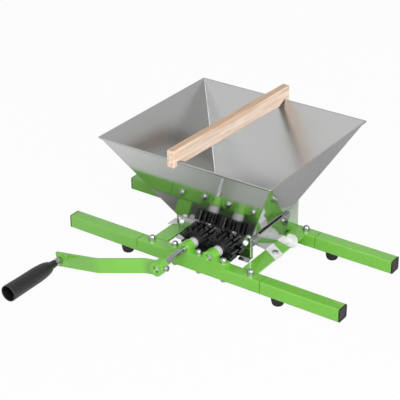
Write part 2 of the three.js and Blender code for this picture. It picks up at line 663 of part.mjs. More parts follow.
function neckPlate(sign) {
  const half = NECK_HALF - PLATE_INSET;
  const returnEnd = PLATE_INNER_FACE - NECK_RETURN;
  const zSpan = [NECK_PLATE_BOTTOM_Z, PLATE_TOP_Z];
  const y = (near, far) => span(sign, near, far).map((value) => value + HOPPER_Y);
  const through = y(PLATE_INNER_FACE - CUT_PAST, PLATE_OUTER_FACE + CUT_PAST);
  const plate = box([-half, half], y(PLATE_INNER_FACE, PLATE_OUTER_FACE), zSpan);
  const returns = [-1, 1].map((step) => (
    box(span(step, half - SHEET, half), y(returnEnd, PLATE_OUTER_FACE), zSpan)
  ));
  const lipSection = outline([
    [PLATE_INNER_FACE, NECK_PLATE_BOTTOM_Z],
    [PLATE_INNER_FACE, NECK_PLATE_BOTTOM_Z + SHEET],
    [PLATE_OUTER_FACE, NECK_PLATE_BOTTOM_Z + SHEET],
    [PLATE_OUTER_FACE + LIP_OUT, NECK_PLATE_BOTTOM_Z + SHEET - LIP_DROP],
    [PLATE_OUTER_FACE + LIP_OUT, NECK_PLATE_BOTTOM_Z - LIP_DROP],
    [PLATE_OUTER_FACE, NECK_PLATE_BOTTOM_Z],
  ].map(([reach, z]) => [sign * reach + HOPPER_Y, z]));
  const lips = [-1, 1].map((step) => extrudeAlongX(lipSection, span(step, LIP_START, half)));
  const shaftHoles = [-1, 1].map((step) => (
    rodY(SHAFT_RADIUS + SHAFT_HOLE_GAP, through, step * SHAFT_X, SHAFT_Z)
  ));
  return cut(join(plate, ...returns, ...lips), ...shaftHoles, ...collarBoltHoles(through));
}

for (const [end, sign] of ENDS) {
  place(`neck_${end}_plate`, neckPlate(sign), stainless);
}

// Bolts through the collar and a neck plate, head outside and nut inside, drawn along Y.
function collarBolt(x, sign) {
  const outside = NECK_DEPTH / 2 + CLEARANCE;
  const inside = PLATE_INNER_FACE - CLEARANCE;
  const y = (near, far) => span(sign, near, far).map((value) => value + HOPPER_Y);
  return join(
    rodY(BOLT_HEAD_RADIUS, y(outside, outside + BOLT_HEAD_HEIGHT), x, COLLAR_BOLT_Z, 6),
    rodY(BOLT_RADIUS, y(inside - BOLT_HEAD_HEIGHT / 2, outside + BOLT_HEAD_HEIGHT / 2), x, COLLAR_BOLT_Z, 12),
    rodY(BOLT_HEAD_RADIUS, y(inside - BOLT_HEAD_HEIGHT, inside), x, COLLAR_BOLT_Z, 6),
  );
}

for (const [end, endSign] of ENDS) {
  for (const [side, sideSign] of SIDES) {
    place(`${end}_${side}_collar_bolt`, collarBolt(sideSign * COLLAR_BOLT_X, endSign), zincPlated);
  }
}

// Deflectors: sloping sheets inside the neck that lead fruit from its sides onto the rollers.

function deflector(sign) {
  const outer = NECK_HALF - PLATE_INSET;
  const inner = outer - SHEET;
  const lip = SHAFT_X + ROLLER_TIP_RADIUS + DEFLECTOR_ROLLER_GAP;
  const half = PLATE_INNER_FACE - NECK_RETURN - CLEARANCE;
  const section = [
    [outer, PLATE_TOP_Z],
    [inner, PLATE_TOP_Z],
    [inner, DEFLECTOR_BEND_Z],
    [lip, DEFLECTOR_LIP_Z + SHEET],
    [lip, DEFLECTOR_LIP_Z],
    [outer, DEFLECTOR_BEND_Z - SHEET],
  ].map(([x, z]) => [sign * x, z]);
  return extrudeAlongY(outline(section), [HOPPER_Y - half, HOPPER_Y + half]);
}

for (const [side, sign] of SIDES) {
  place(`${side}_deflector`, deflector(sign), stainless);
}

// Side brackets: bent sheets that carry the hopper's collar on the cross plates, with a raised edge
// along the sloping wall. Each has two feet, the front one bolted and the back one with its hole free
// and an ear bent up along its slanting edge. The left one is the mirror of the right one.

// The ear stands along the slanting edge between two corners of the back foot, just inside it.
function ear(sign, root, tip, baseZ) {
  const up = new THREE.Vector3(0, 0, 1);
  const start = new THREE.Vector3(...root, baseZ);
  const along = new THREE.Vector3(...tip, baseZ).sub(start);
  const length = along.length() - EAR_SETBACK - EAR_INSET;
  along.normalize();
  const across = along.clone().cross(up);
  start.addScaledVector(along, EAR_SETBACK);
  start.addScaledVector(across, sign > 0 ? CLEARANCE : -CLEARANCE - SHEET);
  const shape = new THREE.Shape();
  shape.moveTo(0, 0);
  shape.lineTo(EAR_TAPER, EAR_HEIGHT - EAR_START_DROP);
  shape.lineTo(length - EAR_CORNER, EAR_HEIGHT);
  shape.quadraticCurveTo(length, EAR_HEIGHT, length, EAR_HEIGHT / 2);
  shape.lineTo(length, 0);
  const geometry = new THREE.ExtrudeGeometry(shape, { depth: SHEET, bevelEnabled: false, curveSegments: 5 });
  const turn = new THREE.Matrix4().makeBasis(along, up, across);
  return geometry.applyMatrix4(turn).translate(start.x, start.y, start.z);
}

function bracket(sign) {
  const inner = NECK_HALF + CLEARANCE;
  const outer = inner + SHEET;
  const half = BRACKET_LENGTH / 2;
  const frontFootOut = CROSS_OUT_X + FRONT_FOOT_OVERHANG;
  const backFootOut = CROSS_OUT_X + BACK_FOOT_OVERHANG;
  const backFootBack = BACK_FOOT_FRONT + BACK_FOOT_ROOT;
  const footZ = [CLEARANCE, CLEARANCE + SHEET];
  const place2d = (points) => points.map(([x, y]) => [sign * x, y + BRACKET_Y]);
  const upright = outline([
    [-half, BRACKET_TOP_Z],
    [-half, BRACKET_SHOULDER_Z],
    [-FRONT_FOOT_FRONT, CLEARANCE],
    [backFootBack, CLEARANCE],
    [half, BRACKET_SHOULDER_Z],
    [half, BRACKET_TOP_Z],
  ].map(([y, z]) => [y + BRACKET_Y, z]));
  const frontFoot = place2d([
    [inner, FRONT_FOOT_BACK],
    [outer, FRONT_FOOT_BACK],
    [frontFootOut, FRONT_FOOT_BACK - FRONT_FOOT_SWEEP],
    [frontFootOut, -FRONT_FOOT_FRONT - FRONT_FOOT_SWEEP],
    [outer, -FRONT_FOOT_FRONT],
    [inner, -FRONT_FOOT_FRONT],
  ]);
  const backFoot = place2d([
    [inner, BACK_FOOT_FRONT],
    [outer, BACK_FOOT_FRONT],
    [backFootOut, BACK_FOOT_FRONT - BACK_FOOT_SWEEP],
    [backFootOut, backFootBack - BACK_FOOT_SWEEP - BACK_FOOT_TAPER],
    [outer, backFootBack],
    [inner, backFootBack],
  ]);
  const slope = (MOUTH_WIDTH - NECK_WIDTH) / 2 / (MOUTH_Z - NECK_TOP_Z);
  const lean = slope * BRACKET_EDGE_RISE;
  const raisedEdge = outline([
    [inner, BRACKET_TOP_Z - SHEET],
    [outer, BRACKET_TOP_Z - SHEET],
    [outer, BRACKET_TOP_Z],
    [outer + lean, BRACKET_TOP_Z + BRACKET_EDGE_RISE],
    [inner + lean, BRACKET_TOP_Z + BRACKET_EDGE_RISE],
    [inner, BRACKET_TOP_Z],
  ].map(([x, z]) => [sign * x, z]));
  const edgeSpan = [BRACKET_Y - BRACKET_EDGE_LENGTH / 2, BRACKET_Y + BRACKET_EDGE_LENGTH / 2];
  const holeSpan = [footZ[0] - CUT_PAST, footZ[1] + CUT_PAST];
  const hole = (radius, y) => rodZ(radius, holeSpan, sign * BRACKET_BOLT_X, BRACKET_Y + y);
  return cut(
    join(
      extrudeAlongX(upright, span(sign, inner, outer)),
      extrudeAlongY(raisedEdge, edgeSpan),
      extrudeAlongZ(outline(frontFoot), footZ),
      extrudeAlongZ(outline(backFoot), footZ),
      ear(sign, backFoot[4], backFoot[3], CLEARANCE + SHEET / 2),
    ),
    hole(BOLT_HOLE_RADIUS, -BRACKET_BOLT_Y),
    hole(BRACKET_HOLE_RADIUS, BRACKET_HOLE_Y),
  );
}

function bracketBolt(x, y) {
  const under = -CROSS_THICK - CLEARANCE;
  const seat = SHEET + 2 * CLEARANCE;
  return join(
    hexagon(BOLT_HEAD_RADIUS, [seat, seat + BOLT_HEAD_HEIGHT], x, y),
    rodZ(BOLT_RADIUS, [under - BOLT_HEAD_HEIGHT / 2, seat + BOLT_HEAD_HEIGHT / 2], x, y),
    hexagon(BOLT_HEAD_RADIUS, [under - BOLT_HEAD_HEIGHT, under], x, y),
  );
}

for (const [side, sign] of SIDES) {
  place(`${side}_side_bracket`, bracket(sign), stainless);
  place(`${side}_bracket_bolt`, bracketBolt(sign * BRACKET_BOLT_X, BRACKET_Y - BRACKET_BOLT_Y), zincPlated);
}

// Rear stay: an upright sheet on the back of the back beam that props the hopper's back wall.

function rearStay() {
  const slope = (MOUTH_DEPTH - NECK_DEPTH) / 2 / (MOUTH_Z - NECK_TOP_Z);
  const near = BEAM_OUT_Y + CLEARANCE;
  const far = near + SHEET;
  const bendZ = NECK_TOP_Z + (near - CLEARANCE * Math.hypot(1, slope) - NECK_BACK_Y) / slope;
  const topZ = bendZ + STAY_TOP_REACH;
  const lean = slope * STAY_TOP_REACH;
  const section = outline([
    [near, STAY_BOTTOM_Z],
    [far, STAY_BOTTOM_Z],
    [far, bendZ],
    [far + lean, topZ],
    [near + lean, topZ],
    [near, bendZ],
  ]);
  const half = NECK_HALF - STAY_INSET;
  return extrudeAlongX(section, [-half, half]);
}

place('rear_stay', rearStay(), stainless);

// Crank: a hub clamped on the drive shaft, a flat arm with a double bend and a grip that spins on its axle.

const crank = new THREE.Group();
crank.position.set(-SHAFT_X, 0, SHAFT_Z);
crank.rotation.y = -THREE.MathUtils.degToRad(CRANK_REST_DEG);
machine.add(crank);

function crankArm() {
  const half = CRANK_ARM_THICK / 2;
  const rise = CRANK_TIP_Y - CRANK_ROOT_Y;
  const lean = Math.atan2(rise, CRANK_BEND_END - CRANK_BEND_START) / 2;
  const shift = half * Math.tan(lean);
  const outer = CRANK_RADIUS + CRANK_TAIL;
  // Middle line of the arm in radius and Y, with each side's mitre at the two bends.
  const sideLine = (sign) => [
    [0, CRANK_ROOT_Y + sign * half],
    [CRANK_BEND_START - sign * shift, CRANK_ROOT_Y + sign * half],
    [CRANK_BEND_END - sign * shift, CRANK_TIP_Y + sign * half],
    [outer, CRANK_TIP_Y + sign * half],
  ];
  const section = [...sideLine(-1), ...sideLine(1).reverse()].map(([radius, y]) => [-radius, y]);
  const flat = extrudeAlongZ(outline(section), [-CRANK_ARM_WIDTH / 2, CRANK_ARM_WIDTH / 2]);
  const hubBackY = HUB_FRONT_Y + HUB_LENGTH;
  const hub = rodY(HUB_RADIUS, [HUB_FRONT_Y, hubBackY], 0, 0, 36);
  const axleHole = [CRANK_TIP_Y - half - CUT_PAST, CRANK_TIP_Y + half + CUT_PAST];
  return cut(
    join(flat, hub),
    rodY(SHAFT_RADIUS + CLEARANCE, [HUB_FRONT_Y - CUT_PAST, hubBackY + CUT_PAST]),
    rodX(CLAMP_SCREW_RADIUS + CLEARANCE, [0, HUB_RADIUS + CUT_PAST], CLAMP_SCREW_Y),
    rodY(AXLE_RADIUS + CLEARANCE, axleHole, -CRANK_RADIUS),
  );
}

function clampScrew() {
  const seat = HUB_RADIUS + CLEARANCE;
  return join(
    rodX(CLAMP_SCREW_RADIUS, [SHAFT_RADIUS + CLEARANCE, seat + CLAMP_HEAD_HEIGHT / 2], CLAMP_SCREW_Y),
    rodX(CLAMP_HEAD_RADIUS, [seat, seat + CLAMP_HEAD_HEIGHT], CLAMP_SCREW_Y, 0, 6),
  );
}

// The grip is turned round the Y axis of its own axle, from its back end to its open free end.
function grip() {
  const neckEnd = GRIP_BACK_Y - GRIP_NECK_LENGTH;
  const bore = AXLE_RADIUS + CLEARANCE;
  const floor = GRIP_END_Y + GRIP_RECESS;
  const hollow = GRIP_BODY_RADIUS - GRIP_WALL;
  const profile = [
    [bore, GRIP_BACK_Y],
    [bore, floor],
    [hollow, floor],
    [hollow, GRIP_END_Y + GRIP_FLARE],
    [GRIP_END_RADIUS - GRIP_WALL, GRIP_END_Y],
    [GRIP_END_RADIUS, GRIP_END_Y],
    [GRIP_BODY_RADIUS, GRIP_END_Y + GRIP_FLARE],
    [GRIP_BODY_RADIUS, neckEnd - GRIP_BODY_STOP],
    [GRIP_SHOULDER_RADIUS, neckEnd - GRIP_SHOULDER_STOP],
    [GRIP_BACK_RADIUS, neckEnd - GRIP_BACK_STOP],
    [GRIP_STEP_RADIUS, neckEnd],
    [GRIP_NECK_RADIUS, neckEnd],
    [GRIP_NECK_RADIUS - GRIP_NECK_TAPER, GRIP_BACK_Y],
    [bore, GRIP_BACK_Y],
  ];
  return turned(profile);
}

// The axle's head sits deep in the grip's hollow. Past the grip come its collar, the nut and the arm.
function gripAxle() {
  const headSeat = GRIP_END_Y + GRIP_RECESS - CLEARANCE;
  const tipY = CRANK_TIP_Y + CRANK_ARM_THICK / 2;
  const collar = [AXLE_COLLAR_FRONT_Y, AXLE_COLLAR_FRONT_Y + AXLE_COLLAR_LENGTH];
  return join(
    rodY(AXLE_HEAD_RADIUS, [headSeat - AXLE_HEAD_HEIGHT, headSeat], 0, 0, 16),
    rodY(AXLE_RADIUS, [headSeat - AXLE_HEAD_HEIGHT / 2, tipY], 0, 0, 16),
    rodY(AXLE_COLLAR_RADIUS, collar, 0, 0, 16),
  );
}

function gripNut() {
  return cut(
    rodY(GRIP_NUT_RADIUS, [GRIP_NUT_FRONT_Y, GRIP_NUT_BACK_Y], 0, 0, 6),
    rodY(AXLE_RADIUS + CLEARANCE, [GRIP_NUT_FRONT_Y - CUT_PAST, GRIP_NUT_BACK_Y + CUT_PAST], 0, 0, 16),
  );
}

place('crank_arm', crankArm(), greenPaint, crank);
place('crank_clamp_screw', clampScrew(), zincPlated, crank);
for (const [name, geometry, material] of [
  ['grip', grip(), blackPlastic],
  ['grip_axle', gripAxle(), zincPlated],
  ['grip_nut', gripNut(), zincPlated],
]) {
  place(name, geometry, material, crank).position.x = -CRANK_RADIUS;
}

// Wooden bar laid across the mouth, notched over the front and back rims.

function woodenBar() {
  const rim = MOUTH_DEPTH / 2;
  const end = rim + WOOD_OVERHANG;
  const seat = MOUTH_Z + CLEARANCE;
  const hook = rim + WOOD_NOTCH_OUT;
  const inside = rim - HEM_OUT - 2 * SHEET;
  const top = MOUTH_Z + WOOD_ABOVE_RIM;
  const bottom = MOUTH_Z - WOOD_BELOW_RIM;
  const section = outline([
    [-end, top], [-end, bottom], [-hook, bottom], [-hook, seat],
    [-inside, seat], [-inside + WOOD_NOTCH_IN, bottom], [inside - WOOD_NOTCH_IN, bottom],
    [inside, seat], [hook, seat], [hook, bottom], [end, bottom], [end, top],
  ]);
  return extrudeAlongX(section, [-WOOD_THICK / 2, WOOD_THICK / 2]);
}

const bar = place('wooden_bar', woodenBar(), beech);
bar.position.set(WOOD_X, HOPPER_Y, 0);
bar.rotation.z = THREE.MathUtils.degToRad(WOOD_YAW_DEG);

// The origin goes on the ground, under the middle of the whole machine.

const extent = new THREE.Box3().setFromObject(machine, true);
const middle = extent.getCenter(new THREE.Vector3());
machine.position.set(-middle.x, -middle.y, -extent.min.z);

export default machine;
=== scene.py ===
"""A hand-cranked fruit scratter, finished piece by piece round its frame.

Lengths are metres, in the frame's own axes: X along the beams, Y from the crank to the back, Z up.
"""

import json
import math

import bmesh
import bpy
from mathutils import Matrix, Vector


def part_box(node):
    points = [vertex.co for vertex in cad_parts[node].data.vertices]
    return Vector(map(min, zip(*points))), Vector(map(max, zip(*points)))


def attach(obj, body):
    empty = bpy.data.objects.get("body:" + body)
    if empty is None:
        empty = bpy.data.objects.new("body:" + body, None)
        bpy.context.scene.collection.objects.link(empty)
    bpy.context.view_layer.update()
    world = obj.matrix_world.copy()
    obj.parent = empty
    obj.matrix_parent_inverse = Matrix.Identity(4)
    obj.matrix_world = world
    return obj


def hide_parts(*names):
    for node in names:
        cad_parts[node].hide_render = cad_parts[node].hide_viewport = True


bl_info = {
    "name": "Fruit Scratter",
    "version": (1, 0, 0),
    "blender": (4, 5, 0),
    "location": "3D View > Sidebar > Scratter",
    "description": "Builds a hand-cranked fruit scratter piece by piece",
    "category": "Object",
}

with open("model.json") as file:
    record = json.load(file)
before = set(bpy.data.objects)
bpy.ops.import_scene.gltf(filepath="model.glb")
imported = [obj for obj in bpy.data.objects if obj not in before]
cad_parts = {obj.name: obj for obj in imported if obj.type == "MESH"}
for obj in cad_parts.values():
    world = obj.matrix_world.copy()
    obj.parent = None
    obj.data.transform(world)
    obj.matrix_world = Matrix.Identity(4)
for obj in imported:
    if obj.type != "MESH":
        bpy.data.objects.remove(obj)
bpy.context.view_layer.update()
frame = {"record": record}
RECORD = frame["record"]
BODY_OF = {node: body for body, nodes in RECORD["behaviour"]["bodies"].items() for node in nodes}
SLOT_OF = {part["node"]: part["material_slot"] for part in RECORD["subparts"]}

MM = 0.001
SIDES = (("left", -1), ("right", 1))
ENDS = (("front", -1), ("back", 1))
CORNERS = tuple((end, side, sign) for end, _ in ENDS for side, sign in SIDES)
ROLES = ("drive", "driven")
BEARING_BOLTS = ("left", "middle", "right")


def low(node):
    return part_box(node)[0]


def high(node):
    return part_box(node)[1]


def middle(node):
    return (low(node) + high(node)) / 2


def centre(node, axis):
    """A node's middle in the plane square to an axis."""
    x, y, z = middle(node)
    return {"X": (y, z), "Y": (x, z), "Z": (x, y)}[axis]


def reach_in_x(node):
    """How near to the machine's middle a node comes in X, and how far out it goes."""
    return sorted((abs(low(node).x), abs(high(node).x)))


# Sizes and settings that several pieces share. Holes, bores, shanks and the hub go by their radius.
BEAM_TOP = high("front_centre_tube").z
GAP = 0.3 * MM  # left between pieces that rest on each other
PAST = 1 * MM  # how far a cut goes past the face that it starts from
BOLT_HOLE = 3.4 * MM
SHANK = 3 * MM
HEAD = 4 * MM
HEAD_RADIUS = 5.7 * MM
SHAFT_BORE = 6.3 * MM
AXLE_BORE = 4.3 * MM
STEM_HOLE = 4.3 * MM
CRANK_HUB = 13 * MM
TIP = 0.15 * MM  # radius of the small flat on top of a dome
LEAST_NOISE, MOST_NOISE = 0.3, 0.7  # between these lies most of a noise pattern
FACE_WEIGHT = 90  # how far flat faces keep their shading from the rounds beside them


# Colours


def srgb(code):
    """A colour written as an sRGB hex value, turned to linear."""
    parts = [int(code[i : i + 2], 16) / 255 for i in (1, 3, 5)]
    return tuple(c / 12.92 if c <= 0.04045 else ((c + 0.055) / 1.055) ** 2.4 for c in parts)


def colour(name, description, code):
    return bpy.props.FloatVectorProperty(
        name=name, description=description, subtype="COLOR", size=3, min=0, max=1, default=srgb(code)
    )


class ScratterColours(bpy.types.PropertyGroup):
    """Colours of the machine's finishes."""

    green: colour("Green", "Powder coat on the frame and the crank", "#72be38")
    stainless: colour("Stainless", "Rolled sheet of the hopper and its brackets", "#bbbcbb")
    zinc: colour("Zinc", "Plating of the bolts and nuts", "#b9bbbc")
    steel: colour("Steel", "Ground shafts", "#cdced0")
    natural: colour("Natural nylon", "Collars on the shafts", "#c9c6c8")
    nylon: colour("Nylon", "Gears and crushing rollers", "#0b0b0d")
    plastic: colour("Plastic", "Grip and tube end caps", "#151517")
    rubber: colour("Rubber", "Feet", "#131313")
    beech_light: colour("Beech, light", "Wood between the growth lines", "#f3dfd0")
    beech_dark: colour("Beech, dark", "Growth lines of the wood", "#dfbfa4")
    floor: colour("Floor", "Studio floor", "#cfcfcf")


def length(name, description, millimetres):
    return bpy.props.FloatProperty(
        name=name, description=description, unit="LENGTH", min=0, precision=5, default=millimetres * MM
    )


class ScratterSizes(bpy.types.PropertyGroup):
    """Sizes that shape the finish of the pieces."""

    tube_corner: length("Tube corner", "Outer corner radius of the square tubes", 2.6)
    tube_wall: length("Tube wall", "Wall of the square tubes", 2)
    sheet: length("Sheet", "Thickness of the bent sheet", 1.5)
    sheet_bend: length("Sheet bend", "Inner radius of a bend in the sheet", 1.2)
    hem: length("Hem", "Height of the rolled rim round the hopper", 5)
    hem_out: length("Hem out", "How far the rolled rim stands out of the wall", 1.6)
    grip_rib: length("Grip rib", "Depth of the grooves along the grip", 0.35)
    wood_edge: length("Wood edge", "Rounding of the wooden bar's edges", 1)


class ScratterLights(bpy.types.PropertyGroup):
    """Plain studio light."""

    key: bpy.props.FloatProperty(
        name="Key", description="Power of the large lamp in front and above", unit="POWER", default=47
    )
    side: bpy.props.FloatProperty(
        name="Side", description="Power of the lamp to the right", unit="POWER", default=38
    )
    sky: bpy.props.FloatProperty(
        name="Sky", description="Strength of the even light from all round", subtype="FACTOR", default=0.36
    )


def settings():
    scene = bpy.context.scene
    return scene.scratter_colours, scene.scratter_sizes, scene.scratter_lights


# Materials


def add_node(tree, kind, inputs=(), stops=(), **values):
    """Adds a node with its values and ramp stops. Its inputs go by name or in order, and each one is
    a value, another node's output, or a node whose first output is meant."""
    node = tree.nodes.new(kind)
    for name, value in values.items():
        setattr(node, name, value)
    for name, value in inputs.items() if isinstance(inputs, dict) else enumerate(inputs):
        source = value.outputs[0] if isinstance(value, bpy.types.Node) else value
        if isinstance(source, bpy.types.NodeSocket):
            tree.links.new(source, node.inputs[name])
        else:
            node.inputs[name].default_value = source
    for _ in stops[2:]:
        node.color_ramp.elements.new(0.5)
    for number, (position, shade) in enumerate(stops):
        node.color_ramp.elements[number].position = position
        node.color_ramp.elements[number].color = (*shade, 1)
    return node


def new_material(name):
    """A material, its empty node tree and the place on the piece in metres."""
    material = bpy.data.materials.new(name)
    material.use_nodes = True
    tree = material.node_tree
    tree.nodes.clear()
    return material, tree, add_node(tree, "ShaderNodeTexCoord").outputs["Object"]


def pattern(tree, place, millimetres, detail=2.0, stretch=(1, 1, 1)):
    """Uneven spots of one real size, drawn out along an axis by a stretch below 1."""
    mapped = add_node(tree, "ShaderNodeMapping", {"Vector": place, "Scale": stretch})
    scale = 1 / (millimetres * MM)
    return add_node(tree, "ShaderNodeTexNoise", {"Vector": mapped, "Scale": scale, "Detail": detail})


def surface(material, inputs, relief=None):
    """Ends a material in one shader, over a relief given by its height, depth in metres and strength."""
    tree = material.node_tree
    if relief:
        names = ("Height", "Distance", "Strength")
        inputs["Normal"] = add_node(tree, "ShaderNodeBump", dict(zip(names, relief)))
    shader = add_node(tree, "ShaderNodeBsdfPrincipled", inputs)
    add_node(tree, "ShaderNodeOutputMaterial", {"Surface": shader})
    return material


def shaded(shade, factor, lift=0.0):
    """A colour made darker or lighter."""
    return tuple(min(1, c * factor + lift) for c in shade)


def grey(level):
    return (level, level, level)


def gloss_powder_coat(colours):
    """Gloss powder coat on steel: an opaque colour under a clear shine, with a faint orange peel."""
    material, tree, place = new_material("gloss powder coat, green")
    stops = [(LEAST_NOISE, shaded(colours.green, 0.93)), (MOST_NOISE, colours.green)]
    tone = add_node(tree, "ShaderNodeValToRGB", {"Fac": pattern(tree, place, 60, 1)}, stops)
    return surface(
        material,
        {"Base Color": tone, "Roughness": 0.34, "IOR": 1.5, "Coat Weight": 0.9, "Coat Roughness": 0.05},
        (pattern(tree, place, 2.2), 0.06 * MM, 0.35),
    )


def cloudy(tree, place, millimetres, detail, least, most):
    """A value that drifts between two limits in clouds of a real size."""
    cloud = pattern(tree, place, millimetres, detail)
    return add_node(tree, "ShaderNodeMapRange", (cloud, LEAST_NOISE, MOST_NOISE, least, most))


def stainless_sheet(name, shade, smoothest, roughest, wave, metallic=1.0):
    """Stainless sheet of one roughness, with fine rolling lines and a slight wave in it."""
    material, tree, place = new_material(name)
    lines = pattern(tree, place, 0.7, 3, (0.03, 0.03, 1))
    waves = pattern(tree, place, 120, 1)
    line_height = 0.02
    height = add_node(tree, "ShaderNodeMath", (lines, line_height, waves), operation="MULTIPLY_ADD")
    rough = cloudy(tree, place, 25, 3, smoothest, roughest)
    base = {"Base Color": (*shade, 1), "Metallic": metallic, "Roughness": rough}
    return surface(material, base, (height, wave, 0.4))


def rolled_stainless(colours):
    """Bright rolled sheet: nearly a mirror for the gears and the paint next to it."""
    return stainless_sheet("stainless steel, bright rolled", colours.stainless, 0.06, 0.1, 0.08 * MM)


def satin_stainless_painted_light(colours):
    """Blasted sheet: its fine pits scatter light like a matt surface. Its soft light grey is painted light,
    the sheet's colour made much lighter so that pieces in shade still read light.
    """
    # Painted light: the stainless colour lightened well past the sheet's own, for pieces that sit in shade.
    painted_light_grey = shaded(colours.stainless, 1.75)
    return stainless_sheet("stainless steel, satin, painted light", painted_light_grey, 0.5, 0.56, 0.01 * MM, 0.25)


def worn_stainless(colours):
    """The walls that the fruit slides down: dulled, so that they blur one another."""
    return stainless_sheet("stainless steel, dulled", colours.stainless, 0.2, 0.23, 0.01 * MM)


def zinc_plate(colours):
    """Bright zinc plate on pressed steel: a clean shine with slightly cloudy spots."""
    material, tree, place = new_material("zinc plated steel")
    rough = cloudy(tree, place, 3, 2, 0.16, 0.26)
    return surface(material, {"Base Color": (*colours.zinc, 1), "Metallic": 1.0, "Roughness": rough})


def ground_steel(colours):
    """Ground and polished steel bar: long sharp streaks of light along it, from fine turning marks."""
    material, tree, place = new_material("ground steel")
    marks = pattern(tree, place, 0.5, 2, (0.1, 1, 0.1))
    base = {"Base Color": (*colours.steel, 1), "Metallic": 1.0, "Roughness": 0.06}
    return surface(material, base, (marks, 0.005 * MM, 0.3))


def natural_nylon(colours):
    """Undyed nylon: milky white, a little light goes in and softens its shading."""
    material, tree, place = new_material("nylon, natural")
    stops = [(LEAST_NOISE, shaded(colours.natural, 0.94)), (MOST_NOISE, colours.natural)]
    tone = add_node(tree, "ShaderNodeValToRGB", {"Fac": pattern(tree, place, 6, 2)}, stops)
    inside = {"Subsurface Weight": 0.2, "Subsurface Scale": 1 * MM}
    return surface(material, {"Base Color": tone, "Roughness": 0.4, "IOR": 1.53, **inside})


def moulded_black(name, shade, roughness, grain, depth):
    """A black moulded piece: its grain breaks up the shine, and its edges catch a little light."""
    material, tree, place = new_material(name)
    stops = [(0.35, shade), (0.75, shaded(shade, 1.5, 0.002))]
    tone = add_node(tree, "ShaderNodeValToRGB", {"Fac": pattern(tree, place, 18, 2)}, stops)
    skin_grain = pattern(tree, place, grain, 3)
    base = {"Base Color": tone, "Roughness": roughness, "IOR": 1.5}
    return surface(material, base, (skin_grain, depth, 0.5))


def moulded_nylon(colours):
    """Moulded nylon: satin black with soft highlights on the teeth."""
    return moulded_black("nylon, moulded black", colours.nylon, 0.34, 1.2, 0.02 * MM)


def moulded_plastic(colours):
    """Moulded polypropylene: a fine satin grain that greys the black where light grazes it."""
    return moulded_black("polypropylene, moulded black", colours.plastic, 0.42, 0.9, 0.03 * MM)


def moulded_rubber(colours):
    """Moulded rubber: matt, nearly without shine."""
    return moulded_black("rubber, moulded black", colours.rubber, 0.75, 1.5, 0.05 * MM)


def planed_beech(colours):
    """Planed beech: pale, with long growth lines and short dark flecks, and painted shade that makes the top
    darker and warmer.
    """
    material, tree, place = new_material("beech, planed")
    streak = pattern(tree, place, 5, 4, (1, 0.035, 1))
    fleck = pattern(tree, place, 1.6, 2, (1, 0.12, 1))
    drift = pattern(tree, place, 60, 1)
    facing = add_node(tree, "ShaderNodeTexCoord").outputs["Normal"]
    painted_top_shade_factor = add_node(tree, "ShaderNodeSeparateXYZ", (facing,)).outputs["Z"]
    light, dark = colours.beech_light, colours.beech_dark
    mean = tuple((a + b) / 2 for a, b in zip(light, dark))
    tints = [
        (streak, [(0.36, dark), (0.5, mean), (0.62, light)]),
        (fleck, [(0.3, grey(0.86)), (0.42, grey(1))]),
        (drift, [(0.35, grey(0.93)), (0.65, grey(1))]),
        # Painted shade: faces that point up are made darker and warmer than the sides.
        (painted_top_shade_factor, [(0.6, grey(1)), (0.85, (0.8, 0.69, 0.6))]),
    ]
    wood, *others = [add_node(tree, "ShaderNodeValToRGB", (factor,), stops) for factor, stops in tints]
    for tint in others:
        kind = {"data_type": "RGBA", "blend_type": "MULTIPLY"}
        wood = add_node(tree, "ShaderNodeMix", {0: 1.0, 6: wood, 7: tint}, **kind).outputs[2]
    return surface(material, {"Base Color": wood, "Roughness": 0.58, "IOR": 1.45}, (streak, 0.15 * MM, 0.4))


FINISHES = {
    "green_enamel": gloss_powder_coat,
    "stainless_sheet": rolled_stainless,
    "stainless_satin_painted_light": satin_stainless_painted_light,
    "stainless_inside": worn_stainless,
    "zinc_fastener": zinc_plate,
    "bright_steel": ground_steel,
    "natural_nylon": natural_nylon,
    "black_nylon": moulded_nylon,
    "black_plastic": moulded_plastic,
    "black_rubber": moulded_rubber,
    "beech": planed_beech,
}
MADE = {}


def finish_for(key):
    """The material of a slot, or of a second finish of the stainless sheet."""
    if key not in MADE:
        MADE[key] = FINISHES[key](settings()[0])
    return MADE[key]


# Outlines in a plane, as lists of (a, b) points


def circle(radius, at=(0, 0), sides=48, turn=0.0):
    steps = [turn + 2 * math.pi * i / sides for i in range(sides)]
    return [(at[0] + radius * math.cos(t), at[1] + radius * math.sin(t)) for t in steps]


def rounded(points, radius, steps=5, closed=True):
    """The outline with each corner turned into an arc, smaller where its edges are short."""
    straight = 1e-4
    share_of_edge = 0.49
    result = []
    count = len(points)
    for i, corner in enumerate(points):
        here = Vector(corner)
        before, after = Vector(points[i - 1]) - here, Vector(points[(i + 1) % count]) - here
        if not closed and i in (0, count - 1) or math.pi - before.angle(after) < straight:
            result.append(tuple(corner))
            continue
        angle = before.angle(after)
        bend = math.pi - angle
        reach = min(radius * math.tan(bend / 2), before.length * share_of_edge, after.length * share_of_edge)
        size = reach / math.tan(bend / 2)
        before, after = before.normalized(), after.normalized()
        pivot = here + (before + after).normalized() * (size / math.sin(angle / 2))
        first, last = here + before * reach - pivot, here + after * reach - pivot
        turn = math.atan2(first.y, first.x)
        sweep = (math.atan2(last.y, last.x) - turn + math.pi) % (2 * math.pi) - math.pi
        for k in range(steps + 1):
            spoke = turn + sweep * k / steps
            result.append((pivot.x + size * math.cos(spoke), pivot.y + size * math.sin(spoke)))
    return result


def rectangle(half_a, half_b, at=(0, 0), radius=0.0, steps=5):
    signs = ((-1, -1), (1, -1), (1, 1), (-1, 1))
    corners = [(at[0] + a * half_a, at[1] + b * half_b) for a, b in signs]
    return rounded(corners, radius, steps) if radius > 0 else corners


